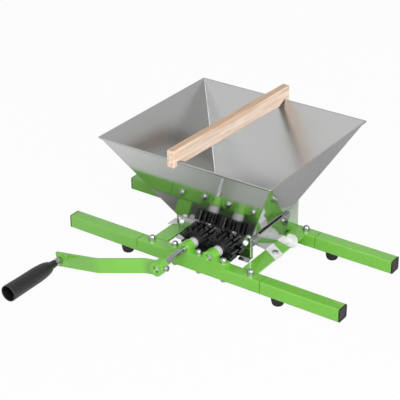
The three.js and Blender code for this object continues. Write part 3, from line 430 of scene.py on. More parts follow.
def beside(path, distance):
    """A line that runs at one distance to the left of an open path."""
    sharpest = 0.2
    points = [Vector(p) for p in path]
    line = []
    for i, point in enumerate(points):
        before = (point - points[i - 1]).normalized() if i else None
        after = (points[i + 1] - point).normalized() if i < len(points) - 1 else None
        along = (before + after).normalized() if before and after else before or after
        across = Vector((-along.y, along.x))
        line.append(tuple(point + across * distance / max(sharpest, along.dot(before or after))))
    return line


def strip(path, thickness, bend=0.0):
    """Outline of a bent sheet or bar: a band round an open path, with its bends rounded."""
    line = rounded(path, bend, 6, closed=False) if bend > 0 else path
    return beside(line, thickness / 2) + beside(line, -thickness / 2)[::-1]


def in_mm(points, start=0.0):
    """Points in millimetres, their second measures taken from a place along the axis."""
    return [(first * MM, start + second * MM) for first, second in points]


# Solids


def on_axis(axis, a, b, along):
    """A point given in a plane and along the axis square to it."""
    return {"X": (along, a, b), "Y": (a, along, b), "Z": (a, b, along)}[axis]


def tidy_mesh(mesh):
    same_place = 1e-6
    work = bmesh.new()
    work.from_mesh(mesh)
    bmesh.ops.remove_doubles(work, verts=work.verts, dist=same_place)
    bmesh.ops.recalc_face_normals(work, faces=work.faces)
    work.to_mesh(mesh)
    work.free()
    return mesh


def skin(rings, closed=False):
    """A solid over rings of equally many points. Its ends are capped, or joined if it is closed."""
    count = len(rings[0])
    points = [tuple(p) for ring in rings for p in ring]
    faces = []
    for i in range(len(rings) if closed else len(rings) - 1):
        here, there = i * count, (i + 1) % len(rings) * count
        for k in range(count):
            n = (k + 1) % count
            faces.append((here + k, here + n, there + n, there + k))
    if not closed:
        faces.append(tuple(range(count))[::-1])
        faces.append(tuple(range(len(points) - count, len(points))))
    mesh = bpy.data.meshes.new("solid")
    mesh.from_pydata(points, [], faces)
    return tidy_mesh(mesh)


def loft(axis, sections, closed=False):
    """A solid through outlines, each given with its place along an axis."""
    rings = [[on_axis(axis, a, b, along) for a, b in outline] for outline, along in sections]
    return skin(rings, closed)


def prism(outline, axis, near, far):
    return loft(axis, [(outline, near), (outline, far)])


def rod(radius, axis, near, far, at, sides=24, turn=0.0):
    return prism(circle(radius, at, sides, turn), axis, near, far)


def block(corner, opposite):
    """A box between two corners."""
    x, y, z = zip(corner, opposite)
    return prism([(x[0], y[0]), (x[1], y[0]), (x[1], y[1]), (x[0], y[1])], "Z", z[0], z[1])


def turned(profile, axis, at, sides=48, closed=False):
    """A round solid from its profile of (radius, place along the axis), hollow if that is closed."""
    return loft(axis, [(circle(radius, at, sides), along) for radius, along in profile], closed)


def combine(base, tools, operation):
    """Joins or cuts solids. The meshes that went in are used up."""
    objects = [bpy.data.objects.new("work", mesh) for mesh in (base, *tools)]
    for item in objects:
        bpy.context.scene.collection.objects.link(item)
    for tool in objects[1:]:
        step = objects[0].modifiers.new("step", "BOOLEAN")
        step.operation = operation
        step.object = tool
        step.solver = "EXACT"
    bpy.context.view_layer.update()
    ready = objects[0].evaluated_get(bpy.context.evaluated_depsgraph_get())
    result = bpy.data.meshes.new_from_object(ready)
    for item in objects:
        mesh = item.data
        bpy.data.objects.remove(item)
        bpy.data.meshes.remove(mesh)
    return tidy_mesh(result)


def join(base, *others):
    return combine(base, others, "UNION")


def cut(base, *tools):
    return combine(base, tools, "DIFFERENCE")


def common(base, other):
    return combine(base, [other], "INTERSECT")


def moved(mesh, matrix):
    mesh.transform(matrix)
    return mesh


def add_piece(node, suffix, mesh, edge=0.4 * MM, segments=2, edge_angle=35, finish=None):
    """The finished piece in place of a node: its edges broken by a small round, riding on its body."""
    slot = SLOT_OF[node]
    mesh.materials.clear()
    mesh.materials.append(finish_for(finish or slot))
    piece = bpy.data.objects.new(f"{node}_{suffix}", mesh)
    mesh.name = piece.name
    bpy.context.scene.collection.objects.link(piece)
    mesh.shade_smooth()
    if edge > 0:
        rounding = piece.modifiers.new("broken edges", "BEVEL")
        rounding.width = edge
        rounding.segments = segments
        rounding.limit_method = "ANGLE"
        rounding.angle_limit = math.radians(edge_angle)
    flat = piece.modifiers.new("flat faces", "WEIGHTED_NORMAL")
    flat.weight = FACE_WEIGHT
    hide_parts(node)
    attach(piece, BODY_OF[node])
    return piece


def refinish(piece, key, belongs):
    """Gives the faces that a test picks out another finish of the same sheet."""
    piece.data.materials.append(finish_for(key))
    for face in piece.data.polygons:
        face.material_index = int(belongs(face))


# Frame


def bolt_hole(node, near, far, axis="Z"):
    """A round cut where a bolt stands."""
    return rod(BOLT_HOLE, axis, near, far, centre(node, axis))


def square_tube(near, far, at, half, wall, corner):
    """A square tube along X, hollow from end to end."""
    sharpest = 0.5 * MM
    outside = rectangle(half, half, at, corner)
    inside = rectangle(half - wall, half - wall, at, max(corner - wall, sharpest))
    return loft("X", [(outside, near), (outside, far), (inside, far), (inside, near)], closed=True)


def beam_tube(end, sizes):
    """The fixed middle tube of a beam, with its bolt holes."""
    node = f"{end}_centre_tube"
    start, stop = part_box(node)
    half = (stop.z - start.z) / 2
    tube = square_tube(start.x, stop.x, centre(node, "X"), half, sizes.tube_wall, sizes.tube_corner)
    bolts = [f"{end}_{place}_bearing_bolt" for place in BEARING_BOLTS]
    bolts += [f"{end}_{side}_frame_bolt" for side, _ in SIDES]
    holes = [bolt_hole(bolt, start.z - PAST, stop.z + PAST) for bolt in bolts]
    add_piece(node, "beam", cut(tube, *holes), 0.35 * MM)


def arm_tube(end, side, sign, sizes):
    """A pull-out arm: the tube that shows, and the sleeve on it that slides in the middle tube."""
    node = f"{end}_{side}_arm"
    start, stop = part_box(node)
    half = (stop.z - start.z) / 2
    inner, outer = reach_in_x(node)
    wall, corner = sizes.tube_wall, sizes.tube_corner
    opening, overlap, inset = 1.2 * MM, 20 * MM, 2 * MM
    sleeve_corner, packing_corner = 1.5 * MM, 1.8 * MM
    joint = high(f"{end}_centre_tube").x + opening
    sleeve = half - wall - GAP
    layers = [
        (joint, outer, half, wall, corner),
        (inner, joint + overlap, sleeve, wall, sleeve_corner),
        (joint + inset, joint + overlap - inset, sleeve + 2 * GAP, 3 * GAP, packing_corner),
    ]
    at, stem_at = centre(node, "X"), centre(f"{end}_{side}_foot", "Z")
    tubes = [square_tube(sign * near, sign * far, at, *section) for near, far, *section in layers]
    bolt = bolt_hole(f"{end}_{side}_frame_bolt", start.z - PAST, stop.z + PAST)
    stem = rod(STEM_HOLE, "Z", start.z - PAST, middle(node).z, stem_at)
    add_piece(node, "tube", cut(join(*tubes), bolt, stem), 0.5 * MM, 3)


def end_cap(end, side, sign, sizes):
    """A moulded cap in the end of an arm: a flange with a shallow dish, and a plug inside the tube."""
    node = f"{end}_{side}_end_cap"
    start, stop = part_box(node)
    inner, outer = reach_in_x(node)
    half = (stop.z - start.z) / 2
    flange, edge, rim, dish = 2.3 * MM, 0.6 * MM, 2.2 * MM, 0.5 * MM
    corner, plug_corner = sizes.tube_corner, 1 * MM
    plug = half - sizes.tube_wall - GAP
    taper, taper_length = 0.8 * MM, 1.5 * MM
    steps = [
        (plug - taper, inner, plug_corner),
        (plug, inner + taper_length, plug_corner),
        (plug, outer - flange, plug_corner),
        (half, outer - flange, corner),
        (half, outer - edge, corner),
        (half - edge * 0.3, outer - edge * 0.3, corner),
        (half - edge, outer, corner),
        (half - rim, outer, corner - 0.8 * MM),
        (half - rim - dish, outer - dish, corner - 1 * MM),
    ]
    at = centre(node, "X")
    sections = [(rectangle(size, size, at, radius), sign * along) for size, along, radius in steps]
    add_piece(node, "moulding", loft("X", sections), 0)


def rubber_foot(end, side):
    """A turned rubber foot: upright at the top, drawn in to a rounded sole, with its stem."""
    node = f"{end}_{side}_foot"
    start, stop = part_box(node)
    radius = (stop.x - start.x) / 2
    stem, stem_rise, edge, straight = 4 * MM, 5 * MM, 0.7 * MM, 3.6 * MM
    top = stop.z - stem_rise
    profile = in_mm([(6, 0), (7.6, 0), (8.9, 0.5), (10, 2), (10.9, 4.6), (11.6, 7.6)], start.z)
    profile += [(radius, top - straight), (radius, top - edge), (radius - edge, top)]
    profile += [(stem, top), (stem, stop.z)]
    add_piece(node, "rubber", turned(profile, "Z", centre(node, "Z")), 0)


def cross_plate(side):
    """A flat bar between the beams, with the hole for its bracket's bolt."""
    node = f"{side}_cross_plate"
    start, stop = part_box(node)
    bolt = bolt_hole(f"{side}_bracket_bolt", start.z - PAST, stop.z + PAST)
    add_piece(node, "bar", cut(block(start, stop), bolt), 0.6 * MM, 3)


def bearing_block(end):
    """A flat bar with two welded bushes, each with its bore and oil hole."""
    node = f"{end}_bearing_block"
    start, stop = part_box(node)
    bar_top = BEAM_TOP + 9.3 * MM
    bush = (stop.z - BEAM_TOP - GAP) / 2
    axis_z = BEAM_TOP + GAP + bush
    spread = math.sqrt(bush**2 - (axis_z - bar_top) ** 2)
    bead, oil_hole = 1.6 * MM, 1.6 * MM
    # The weld's section in beads, from where the bush meets the bar's top
    weld = [(-3, -1), (1.5, -1), (1.5, 0), (0.5, 0.7), (0.25, 2), (-2, 1.6)]
    bushes, welds, bores, oils = [], [], [], []
    for role in ROLES:
        x = middle(f"{role}_shaft").x
        bushes.append(rod(bush, "Y", start.y, stop.y, (x, axis_z), 72))
        bores.append(rod(SHAFT_BORE, "Y", start.y - PAST, stop.y + PAST, (x, axis_z), 48))
        oils.append(rod(oil_hole, "Z", axis_z, stop.z + PAST, (x, middle(node).y), 20))
        for step in (-1, 1):
            fillet = [(x + step * (spread + a * bead), bar_top + b * bead) for a, b in weld]
            welds.append(prism(fillet, "Y", start.y + bead, stop.y - bead))
    bolts = [
        bolt_hole(f"{end}_{place}_bearing_bolt", start.z - PAST, bar_top + PAST) for place in BEARING_BOLTS
    ]
    solid = join(block(start, (stop.x, stop.y, bar_top)), *bushes, *welds)
    add_piece(node, "casting", cut(solid, *bores, *oils, *bolts), 0.7 * MM, 3)


# Fasteners


def hexagon(radius, axis, near, far, at, turn=math.pi / 6):
    """A hexagon with both ends' corners chamfered as a turned blank leaves them."""
    chamfer = radius * 0.13
    drop, width = chamfer * 0.9, radius + chamfer * 0.5
    first, last = min(near, far), max(near, far)
    blank = [(radius - chamfer, first), (width, first + drop), (width, last - drop), (radius - chamfer, last)]
    return common(rod(radius, axis, first, last, at, 6, turn), turned(blank, axis, at))


def dome(radius, seat, height, steps):
    """Profile of a dome from just above its seat to the small flat on top."""
    arc = [math.pi / 2 * i / steps for i in range(1, steps + 1)]
    return [(max(radius * math.cos(t), TIP), seat + height * math.sin(t)) for t in arc]


def domed_bolt(node, hex_height):
    """A bolt with a domed nut above and its hexagon head below."""
    start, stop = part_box(node)
    at = (0, 0)
    cap_radius = 5.6 * MM
    cap_height, cap_root, cap_root_radius = cap_radius * 0.85, 1 * MM, cap_radius * 0.98
    into_head, into_nut = HEAD * 0.6, hex_height * 0.4
    dome_z = stop.z - cap_height
    seat = dome_z - hex_height
    cap = [(cap_root_radius, dome_z - cap_root), (cap_radius, dome_z)]
    cap += dome(cap_radius, dome_z, cap_height, steps=9)
    nut = join(hexagon((stop.y - start.y) / 2, "Z", seat, dome_z, at), turned(cap, "Z", at))
    shank = rod(SHANK, "Z", start.z + into_head, seat + into_nut, at)
    bolt = join(nut, shank, hexagon(HEAD_RADIUS, "Z", start.z, start.z + HEAD, at))
    moved(bolt, Matrix.Translation((*centre(node, "Z"), 0)))
    add_piece(node, "bolt", bolt, 0.25 * MM, 2, 25)


def collar_bolt(end, side, sign):
    """A bolt through the hopper's collar: a low domed head outside and its nut inside."""
    node = f"{end}_{side}_collar_bolt"
    start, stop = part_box(node)
    at = centre(node, "Y")
    inner, outer = (stop.y, start.y) if sign < 0 else (start.y, stop.y)
    radius = (stop.x - start.x) / 2
    nut_radius = (stop.z - start.z) / 2
    rim = 0.8 * MM
    seat = outer - sign * HEAD
    cap = [(radius, seat), (radius, seat + sign * rim)]
    cap += dome(radius, seat + sign * rim, sign * (HEAD - rim), steps=8)
    shank = rod(SHANK, "Y", inner + sign * HEAD / 2, seat + sign * HEAD / 2, at)
    nut = hexagon(nut_radius, "Y", inner, inner + sign * HEAD, at)
    # The bolts take the satin finish, whose colour is lightened as painted light.
    add_piece(node, "bolt", join(turned(cap, "Y", at), shank, nut), 0.25 * MM, 2, 25, "stainless_satin_painted_light")


def bracket_bolt(side):
    """A hexagon bolt that holds a bracket's foot on the cross plate, with its nut below."""
    node = f"{side}_bracket_bolt"
    start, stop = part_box(node)
    at = centre(node, "Z")
    shank = rod(SHANK, "Z", start.z + HEAD / 2, stop.z - HEAD / 2, at)
    top = hexagon(HEAD_RADIUS, "Z", stop.z - HEAD, stop.z, at)
    bottom = hexagon(HEAD_RADIUS, "Z", start.z, start.z + HEAD, at)
    add_piece(node, "bolt", join(top, shank, bottom), 0.25 * MM, 2, 25)


# Drive


def shaft_bar(role):
    """A ground bar with chamfered ends."""
    node = f"{role}_shaft"
    start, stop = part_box(node)
    radius = (stop.z - start.z) / 2
    chamfer = 0.8 * MM
    profile = [(radius - chamfer, start.y), (radius, start.y + chamfer)]
    profile += [(radius, stop.y - chamfer), (radius - chamfer, stop.y)]
    add_piece(node, "bar", turned(profile, "Y", centre(node, "Y"), 64), 0.15 * MM)


def spacer_ring(role, end):
    """A turned nylon collar on a shaft, with shallow tool grooves round it."""
    node = f"{role}_{end}_spacer"
    start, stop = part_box(node)
    radius = (stop.z - start.z) / 2
    groove, half_width, count = 0.4 * MM, 0.35 * MM, 2
    profile = [(radius - groove, start.y), (radius, start.y + groove)]
    for i in range(count):
        place = start.y + (stop.y - start.y) * (i + 1) / (count + 1)
        profile += [(radius, place - half_width), (radius - groove, place), (radius, place + half_width)]
    profile += [(radius, stop.y - groove), (radius - groove, stop.y)]
    profile += [(SHAFT_BORE, stop.y), (SHAFT_BORE, start.y)]
    add_piece(node, "ring", turned(profile, "Y", centre(node, "Y"), 64, closed=True), 0.15 * MM)


def gear_outline(at, pitch_radius):
    """Outline of a spur gear with involute flanks and a tooth centred on +X."""
    teeth, backlash, pressure = 13, 0.7 * MM, math.radians(20)
    below_pitch, above_pitch = 5.2 * MM, 3.5 * MM
    root_rise, root_spread, rise_spread = 0.8 * MM, 0.06, 0.02
    base = pitch_radius * math.cos(pressure)
    root, tip = pitch_radius - below_pitch, pitch_radius + above_pitch
    pitch_angle = 2 * math.pi / teeth
    half = pitch_angle / 4 - backlash / 2 / pitch_radius + math.tan(pressure) - pressure
    flank = [(root, half + root_spread), (root + root_rise, half + rise_spread)]
    steps = 7
    for i in range(steps + 1):
        radius = base + (tip - base) * i / steps
        roll = math.sqrt(max(0, (radius / base) ** 2 - 1))
        flank.append((radius, half - (roll - math.atan(roll))))
    points = []
    for tooth in range(teeth):
        both = [(radius, tooth * pitch_angle - angle) for radius, angle in flank]
        both += [(radius, tooth * pitch_angle + angle) for radius, angle in reversed(flank)]
        points += [(at[0] + r * math.cos(t), at[1] + r * math.sin(t)) for r, t in both]
    return points


def gear_wheel(role):
    """A moulded gear: toothed rim, a sunk web on each face and a raised boss round the shaft."""
    node = f"{role}_gear"
    start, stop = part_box(node)
    at = centre(f"{role}_shaft", "Y")
    spacing = middle("driven_shaft").x - middle("drive_shaft").x
    solid = prism(gear_outline(at, spacing / 2), "Y", start.y, stop.y)
    bore = rod(SHAFT_BORE, "Y", start.y - PAST, stop.y + PAST, at, 48)
    sink, draft = 1.2 * MM, 0.6 * MM
    rim, boss = 18 * MM, 11 * MM
    groove = [(rim, -PAST), (rim - draft, sink), (boss + draft, sink), (boss, -PAST)]
    webs = [
        turned([(r, face + sign * d) for r, d in groove], "Y", at, closed=True)
        for face, sign in ((start.y, 1), (stop.y, -1))
    ]
    add_piece(node, "wheel", cut(solid, bore, *webs), 0.5 * MM)


def crushing_roller(role):
    """A moulded roller with tapered crushing teeth, the first centred on +X."""
    node = f"{role}_roller"
    start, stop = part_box(node)
    at = Vector(centre(f"{role}_shaft", "Y"))
    teeth, root, tip = 11, 20.5 * MM, max((stop.z - start.z) / 2, stop.x - at.x)
    base_half, tip_half = 4.2 * MM, 1.3 * MM
    corners = [(root, -base_half), (tip, -tip_half), (tip, tip_half), (root, base_half)]
    turns = [Matrix.Rotation(2 * math.pi * tooth / teeth, 2) for tooth in range(teeth)]
    points = [tuple(at + turn @ Vector(corner)) for turn in turns for corner in corners]
    solid = prism(rounded(points, 0.8 * MM, 3), "Y", start.y, stop.y)
    bore = rod(SHAFT_BORE, "Y", start.y - PAST, stop.y + PAST, at, 48)
    add_piece(node, "drum", cut(solid, bore), 0.5 * MM)


# Hopper and sheet pieces


def neck_top():
    """Height where the hopper's sloping walls meet its collar, and the collar's half width and depth."""
    bolt_head = 4.3 * MM
    width = low("right_side_bracket").x - GAP
    depth = (high("back_left_collar_bolt").y - low("front_left_collar_bolt").y) / 2 - bolt_head
    return high("neck_front_plate").z + 1 * MM, Vector((width, depth))


def wall_slope():
    """How far the hopper's side and front walls lean out for each unit of height."""
    start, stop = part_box("hopper")
    neck_z, neck = neck_top()
    mouth = Vector(((stop.x - start.x) / 2, (stop.y - start.y) / 2))
    return (mouth - neck) / (stop.z - neck_z)


def hopper_shell(sizes):
    """Four sloping walls with folded corners and a rolled rim, ending in an upright collar."""
    node = "hopper"
    start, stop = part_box(node)
    neck_z, neck = neck_top()
    slope = wall_slope()
    lean = Vector((math.hypot(1, slope.x), math.hypot(1, slope.y)))
    sheet, hem = sizes.sheet, sizes.hem
    corner, sharpest = 3 * MM, 0.8 * MM

    def section(z, grow, sloped):
        """The outline at a height, moved out of the collar's or the wall's face, and the height."""
        half = neck + (slope * (z - neck_z) + lean * grow if sloped else Vector((grow, grow)))
        return rectangle(half.x, half.y, centre(node, "Z"), max(corner + grow, sharpest), 6), z

    face = -sizes.hem_out / lean.x
    bend_out = neck_z + sizes.hem_out / slope.x
    bend_in = bend_out + sheet * (lean.x - 1) / slope.x
    bend, edge = 0.3 * MM, 0.25 * MM
    crest = 1.3 * MM
    bulge = slope.x * crest / lean.x
    # Heights and distances out of the face: up the outside, over the rolled rim and down the inside
    collar_out = [(start.z, -edge), (start.z + edge, 0), (bend_out - bend, 0)]
    wall = [
        (bend_out + bend, face),
        (stop.z - hem - 0.3 * MM, face),
        (stop.z - hem + 0.2 * MM, face + 0.25 * MM),
        (stop.z - hem, -0.5 * MM),
        (stop.z - hem + 0.5 * MM, -0.1 * MM),
        (stop.z - crest * 1.8, bulge * 0.8),
        (stop.z - crest, bulge),
        (stop.z - 0.6 * MM, bulge * 0.6),
        (stop.z - 0.15 * MM, -0.5 * MM),
        (stop.z, -1.3 * MM),
        (stop.z - 0.3 * MM, -2.2 * MM),
        (stop.z - 1.2 * MM, face - sheet),
        (bend_in + bend, face - sheet),
    ]
    collar_in = [(bend_in - bend, -sheet), (start.z + edge, -sheet), (start.z, edge - sheet)]
    parts = ((collar_out, False), (wall, True), (collar_in, False))
    shell = loft("Z", [section(z, grow, sloped) for rows, sloped in parts for z, grow in rows], closed=True)
    holes = [bolt_hole(f"front_{side}_collar_bolt", start.y, stop.y, "Y") for side, _ in SIDES]
    piece = add_piece(node, "sheet", cut(shell, *holes), 0)
    faces_up = 0.3
    refinish(
        piece,
        "stainless_inside",
        lambda side: side.normal.z > faces_up and neck_z < side.center.z < stop.z - crest,
    )


def neck_plate(end, sign, sizes):
    """An upright plate inside the collar with side returns, shaft holes and drip lips."""
    node = f"neck_{end}_plate"
    start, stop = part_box(node)
    sheet = sizes.sheet
    half = (stop.x - start.x) / 2
    flange, shaft_hole, hole_reach = 5 * MM, 7 * MM, 2 * MM
    lip_out, lip_drop, lip_root, lip_start, lip_inset = 7 * MM, 4 * MM, 3 * MM, 56 * MM, 0.5 * MM
    lip_sheet, lip_bend, lip_edge, lip_rise = sheet * 0.92, 1 * MM, sheet * 0.23, sheet * 0.4
    outer = (start.y + lip_out) if sign < 0 else (stop.y - lip_out)
    face = outer - sign * sheet / 2
    bottom = start.z + lip_drop
    side_x, return_y = half - sheet / 2, face - sign * (flange + sheet / 2)
    path = [(-side_x, return_y), (-side_x, face), (side_x, face), (side_x, return_y)]
    plate = prism(strip(path, sheet, sizes.sheet_bend + sheet / 2), "Z", bottom, stop.z)
    lip_path = [
        (face - sign * 0.2 * MM, bottom + sheet / 2 + lip_root),
        (face, bottom + sheet / 2),
        (outer + sign * (lip_out - lip_edge), start.z + lip_rise),
    ]
    lip = strip(lip_path, lip_sheet, lip_bend)
    lips = [prism(lip, "X", step * lip_start, step * (half - lip_inset)) for step in (-1, 1)]
    near, far = face - hole_reach, face + hole_reach
    cuts = [rod(shaft_hole, "Y", near, far, centre(f"{role}_shaft", "Y"), 48) for role in ROLES]
    cuts += [bolt_hole(f"{end}_{side}_collar_bolt", near, far, "Y") for side, _ in SIDES]
    add_piece(node, "sheet", cut(join(plate, *lips), *cuts), 0.2 * MM)


def deflector_sheet(side, sign, sizes):
    """A sloping sheet inside the neck that leads fruit from its side onto a roller."""
    node = f"{side}_deflector"
    start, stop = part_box(node)
    sheet = sizes.sheet
    bend_z, bend, lip_edge, lip_rise = BEAM_TOP + 30 * MM, 2 * MM, sheet * 0.17, sheet * 0.47
    wall = (stop.x if sign > 0 else start.x) - sign * sheet / 2
    lip = (start.x if sign > 0 else stop.x) + sign * lip_edge
    path = [(wall, stop.z), (wall, bend_z - sheet / 2), (lip, start.z + lip_rise)]
    add_piece(node, "sheet", prism(strip(path, sheet, bend), "Y", start.y, stop.y), 0.2 * MM)


def side_bracket(side, sign, sizes):
    """A bent bracket that carries the collar on a cross plate: a raised edge, two feet and an ear."""
    node = f"{side}_side_bracket"
    start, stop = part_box(node)
    sheet, fillet = sizes.sheet, sizes.sheet_bend
    centre_y = middle(node).y
    inner, back_out = reach_in_x(node)
    outer = inner + sheet
    floor = BEAM_TOP + GAP
    half = (stop.y - start.y) / 2
    edge_rise, edge_root, edge_half = 4.5 * MM, 3 * MM, 39 * MM
    top = stop.z - edge_rise
    shoulder = top - 6.5 * MM
    front_out = outer + 35.2 * MM
    front_near, front_far, back_near, back_far, ear_y = 5 * MM, -20 * MM, 20 * MM, 41 * MM, 27 * MM

    upright = [(-half, top), (-half, shoulder), (front_far, floor)]
    upright += [(back_far, floor), (half, shoulder), (half, top)]
    upright = rounded([(centre_y + y, z) for y, z in upright], 1.5 * MM, 3)
    front = [(inner, front_near), (outer, front_near), (front_out, -18 * MM)]
    front += [(front_out, -43 * MM), (outer, front_far), (inner, front_far)]
    back = [(inner, back_near), (outer, back_near), (back_out, 11 * MM)]
    back += [(back_out, ear_y), (outer, back_far), (inner, back_far)]
    solids = []
    for foot in (front, back):
        outline = rounded([(sign * x, centre_y + y) for x, y in foot], 1.2 * MM, 4)
        solids.append(prism(outline, "Z", floor, floor + sheet))
    arc = [math.pi / 2 * i / 5 for i in range(1, 6)]
    bend = [(inner, floor), (outer + fillet, floor), (outer + fillet, floor + sheet)]
    bend += [(outer + fillet - fillet * math.sin(t), floor + sheet + fillet * (1 - math.cos(t))) for t in arc]
    bend = [(sign * x, z) for x, z in (*bend, (inner, floor + sheet + fillet))]
    for near, far in ((front_far, front_near), (back_near, back_far)):
        solids.append(prism(bend, "Y", centre_y + near, centre_y + far))
    slope = wall_slope().x
    edge_x = inner + sheet / 2
    edge_path = [
        (sign * edge_x, top - edge_root),
        (sign * edge_x, top),
        (sign * (edge_x + slope * edge_rise), stop.z - sheet / 2 * math.sin(math.atan(slope))),
    ]
    raised = strip(edge_path, sheet, 1.5 * MM)
    solids.append(prism(raised, "Y", centre_y - edge_half, centre_y + edge_half))

    root = Vector((sign * outer, centre_y + back_far))
    tip = Vector((sign * back_out, centre_y + ear_y))
    along = (tip - root).normalized()
    across = Vector((along.y, -along.x)) * sign
    ear_start, ear_end = 5, 1
    run = (tip - root).length / MM - ear_start - ear_end
    profile = [(0, 0), (12, 12), (run - 10, 15), (run - 1.5, 12.5), (run, 6), (run, 0)]
    profile = rounded(in_mm(profile), 4 * MM, 4)
    rings = []
    for depth in (GAP, GAP + sheet):
        corner = root + along * ear_start * MM + across * depth
        rings.append([(*(corner + along * a), floor + sheet / 2 + b) for a, b in profile])
    solids.append(skin(rings))
    bolt = f"{side}_bracket_bolt"
    free_hole, free_at = 2.4 * MM, (middle(bolt).x, centre_y + 19 * MM)
    near, far = floor - PAST, floor + sheet + PAST
    holes = [bolt_hole(bolt, near, far), rod(free_hole, "Z", near, far, free_at)]
    solid = join(prism(upright, "X", sign * inner, sign * outer), *solids)
    piece = add_piece(node, "sheet", cut(solid, *holes), 0.25 * MM)
    # The feet and the ear, in shade under the hopper, take the satin finish with its painted light.
    beyond = outer + 0.2 * MM
    refinish(piece, "stainless_satin_painted_light", lambda face: abs(face.center.x) > beyond and face.center.z < top)


def rear_stay_sheet(sizes):
    """An upright sheet on the back beam, bent to lie along the hopper's back wall."""
    node = "rear_stay"
    start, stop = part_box(node)
    sheet = sizes.sheet
    face = start.y + sheet / 2
    bend_drop, bend = 16 * MM, 3 * MM
    path = [(face, start.z), (face, stop.z - bend_drop), (stop.y - sheet / 2, stop.z)]
    bent = prism(strip(path, sheet, bend), "X", start.x, stop.x)
    past = Vector((PAST, PAST, 0))
    trimmed = common(bent, block(start - past, stop + past))
    # The stay, in shade under the hopper, takes the satin finish with its painted light.
    add_piece(node, "sheet", trimmed, 0.25 * MM, finish="stainless_satin_painted_light")


# Crank


def crank_frame():
    """The crank's axis in X and Z, its reach to the grip, and its turn from a level arm to its rest."""
    shaft = middle("drive_shaft")
    grip = middle("grip")
    drop = shaft.z - grip.z
    run = shaft.x - grip.x
    return (shaft.x, shaft.z), math.hypot(drop, run), math.atan2(drop, run)


def at_rest(mesh):
    """A piece of the crank that was made with its arm level, turned to the rest position."""
    at, _, rest = crank_frame()
    pivot = Vector(on_axis("Y", *at, 0))
    turn = Matrix.Rotation(-rest, 4, "Y")
    return moved(mesh, Matrix.Translation(pivot) @ turn @ Matrix.Translation(-pivot))


def crank_bar():
    """A hub with a flat arm that bends twice on its way forward to the grip."""
    node = "crank_arm"
    start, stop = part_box(node)
    at, radius, _ = crank_frame()
    thick, width, bend, hub_depth, root_depth = 5 * MM, 27 * MM, 45 * MM, 20 * MM, 8 * MM
    bend_start, bend_end, tail, screw_hole = 29 * MM, 114 * MM, 8 * MM, 3.3 * MM
    axle_front, axle_back = start.y - 10 * MM, start.y + 20 * MM
    hub_front, hub_back = stop.y - hub_depth, stop.y
    root_y, tip_y = hub_front + root_depth, start.y + thick / 2
    path = [(0, root_y), (-bend_start, root_y), (-bend_end, tip_y), (-radius - tail, tip_y)]
    outline = strip([(at[0] + x, y) for x, y in path], thick, bend)
    arm = prism(outline, "Z", at[1] - width / 2, at[1] + width / 2)
    hub = rod(CRANK_HUB, "Y", hub_front, hub_back, at, 72)
    bore = rod(SHAFT_BORE, "Y", hub_front - PAST, hub_back + PAST, at, 48)
    axle = rod(AXLE_BORE, "Y", axle_front, axle_back, (at[0] - radius, at[1]), 32)
    screw_at = (middle("crank_clamp_screw").y, at[1])
    screw = rod(screw_hole, "X", at[0], at[0] + CRANK_HUB + PAST, screw_at)
    add_piece(node, "bar", at_rest(cut(join(arm, hub), bore, axle, screw)), 0.9 * MM, 3)


def clamp_screw():
    """The cap screw that clamps the hub on the shaft, with its hexagon socket."""
    node = "crank_clamp_screw"
    at = crank_frame()[0]
    place = (middle(node).y, at[1])
    seat = at[0] + CRANK_HUB + GAP
    head, socket_radius, socket_depth = 6 * MM, 2.9 * MM, 3.2 * MM
    profile = [(3, -7), (3, 0), (4.9, 0), (5.2, 0.3), (5.2, 5.1), (4.9, 5.7), (4.3, 6)]
    screw = turned(in_mm(profile, seat), "X", place)
    socket = rod(socket_radius, "X", seat + head - socket_depth, seat + head + PAST, place, 6)
    add_piece(node, "screw", at_rest(cut(screw, socket)), 0.2 * MM)


def grip_handle(sizes):
    """A moulded grip with shallow grooves along it, a drawn-in neck and an open end."""
    node = "grip"
    start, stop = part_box(node)
    rim = (stop.z - start.z) / 2 / MM
    bore = AXLE_BORE / MM
    # Radius and place in millimetres from an end, and the share of the grooves' depth
    neck = [(6, 0, 0), (6.5, -0.5, 0), (7.1, -7, 0), (7.4, -13.4, 0), (8, -14, 0), (9.6, -16, 0)]
    neck += [(11.1, -20, 0), (12.5, -26, 0.3), (13.6, -34, 0.8), (14.3, -44, 1), (14.6, -54, 1)]
    body = [(14.65, 54, 1), (14.7, 44, 1), (14.85, 32, 1), (15.1, 18, 1), (15.25, 9, 0.7), (15.35, 5, 0)]
    mouth = [(rim, 1.4, 0), (rim - 0.3, 0.4, 0), (rim - 0.9, 0, 0), (rim - 1.7, 0, 0), (rim - 2.3, 0.6, 0)]
    recess = [(12.35, 44, 0), (12.35, 60, 0), (bore, 60, 0)]
    parts = ((stop.y, neck), (start.y, body + mouth + recess), (stop.y, [(bore, 0, 0)]))
    grooves, sides = 14, 14 * 12
    at = centre(node, "Y")
    sections = []
    for origin, rows in parts:
        for radius, along, share in rows:
            outline = []
            for i in range(sides):
                angle = 2 * math.pi * i / sides
                sunk = sizes.grip_rib * share * max(0.0, -math.cos(grooves * angle)) ** 2
                reach = radius * MM - sunk
                outline.append((at[0] + reach * math.cos(angle), at[1] + reach * math.sin(angle)))
            sections.append((outline, origin + along * MM))
    add_piece(node, "handle", loft("Y", sections, closed=True), 0)


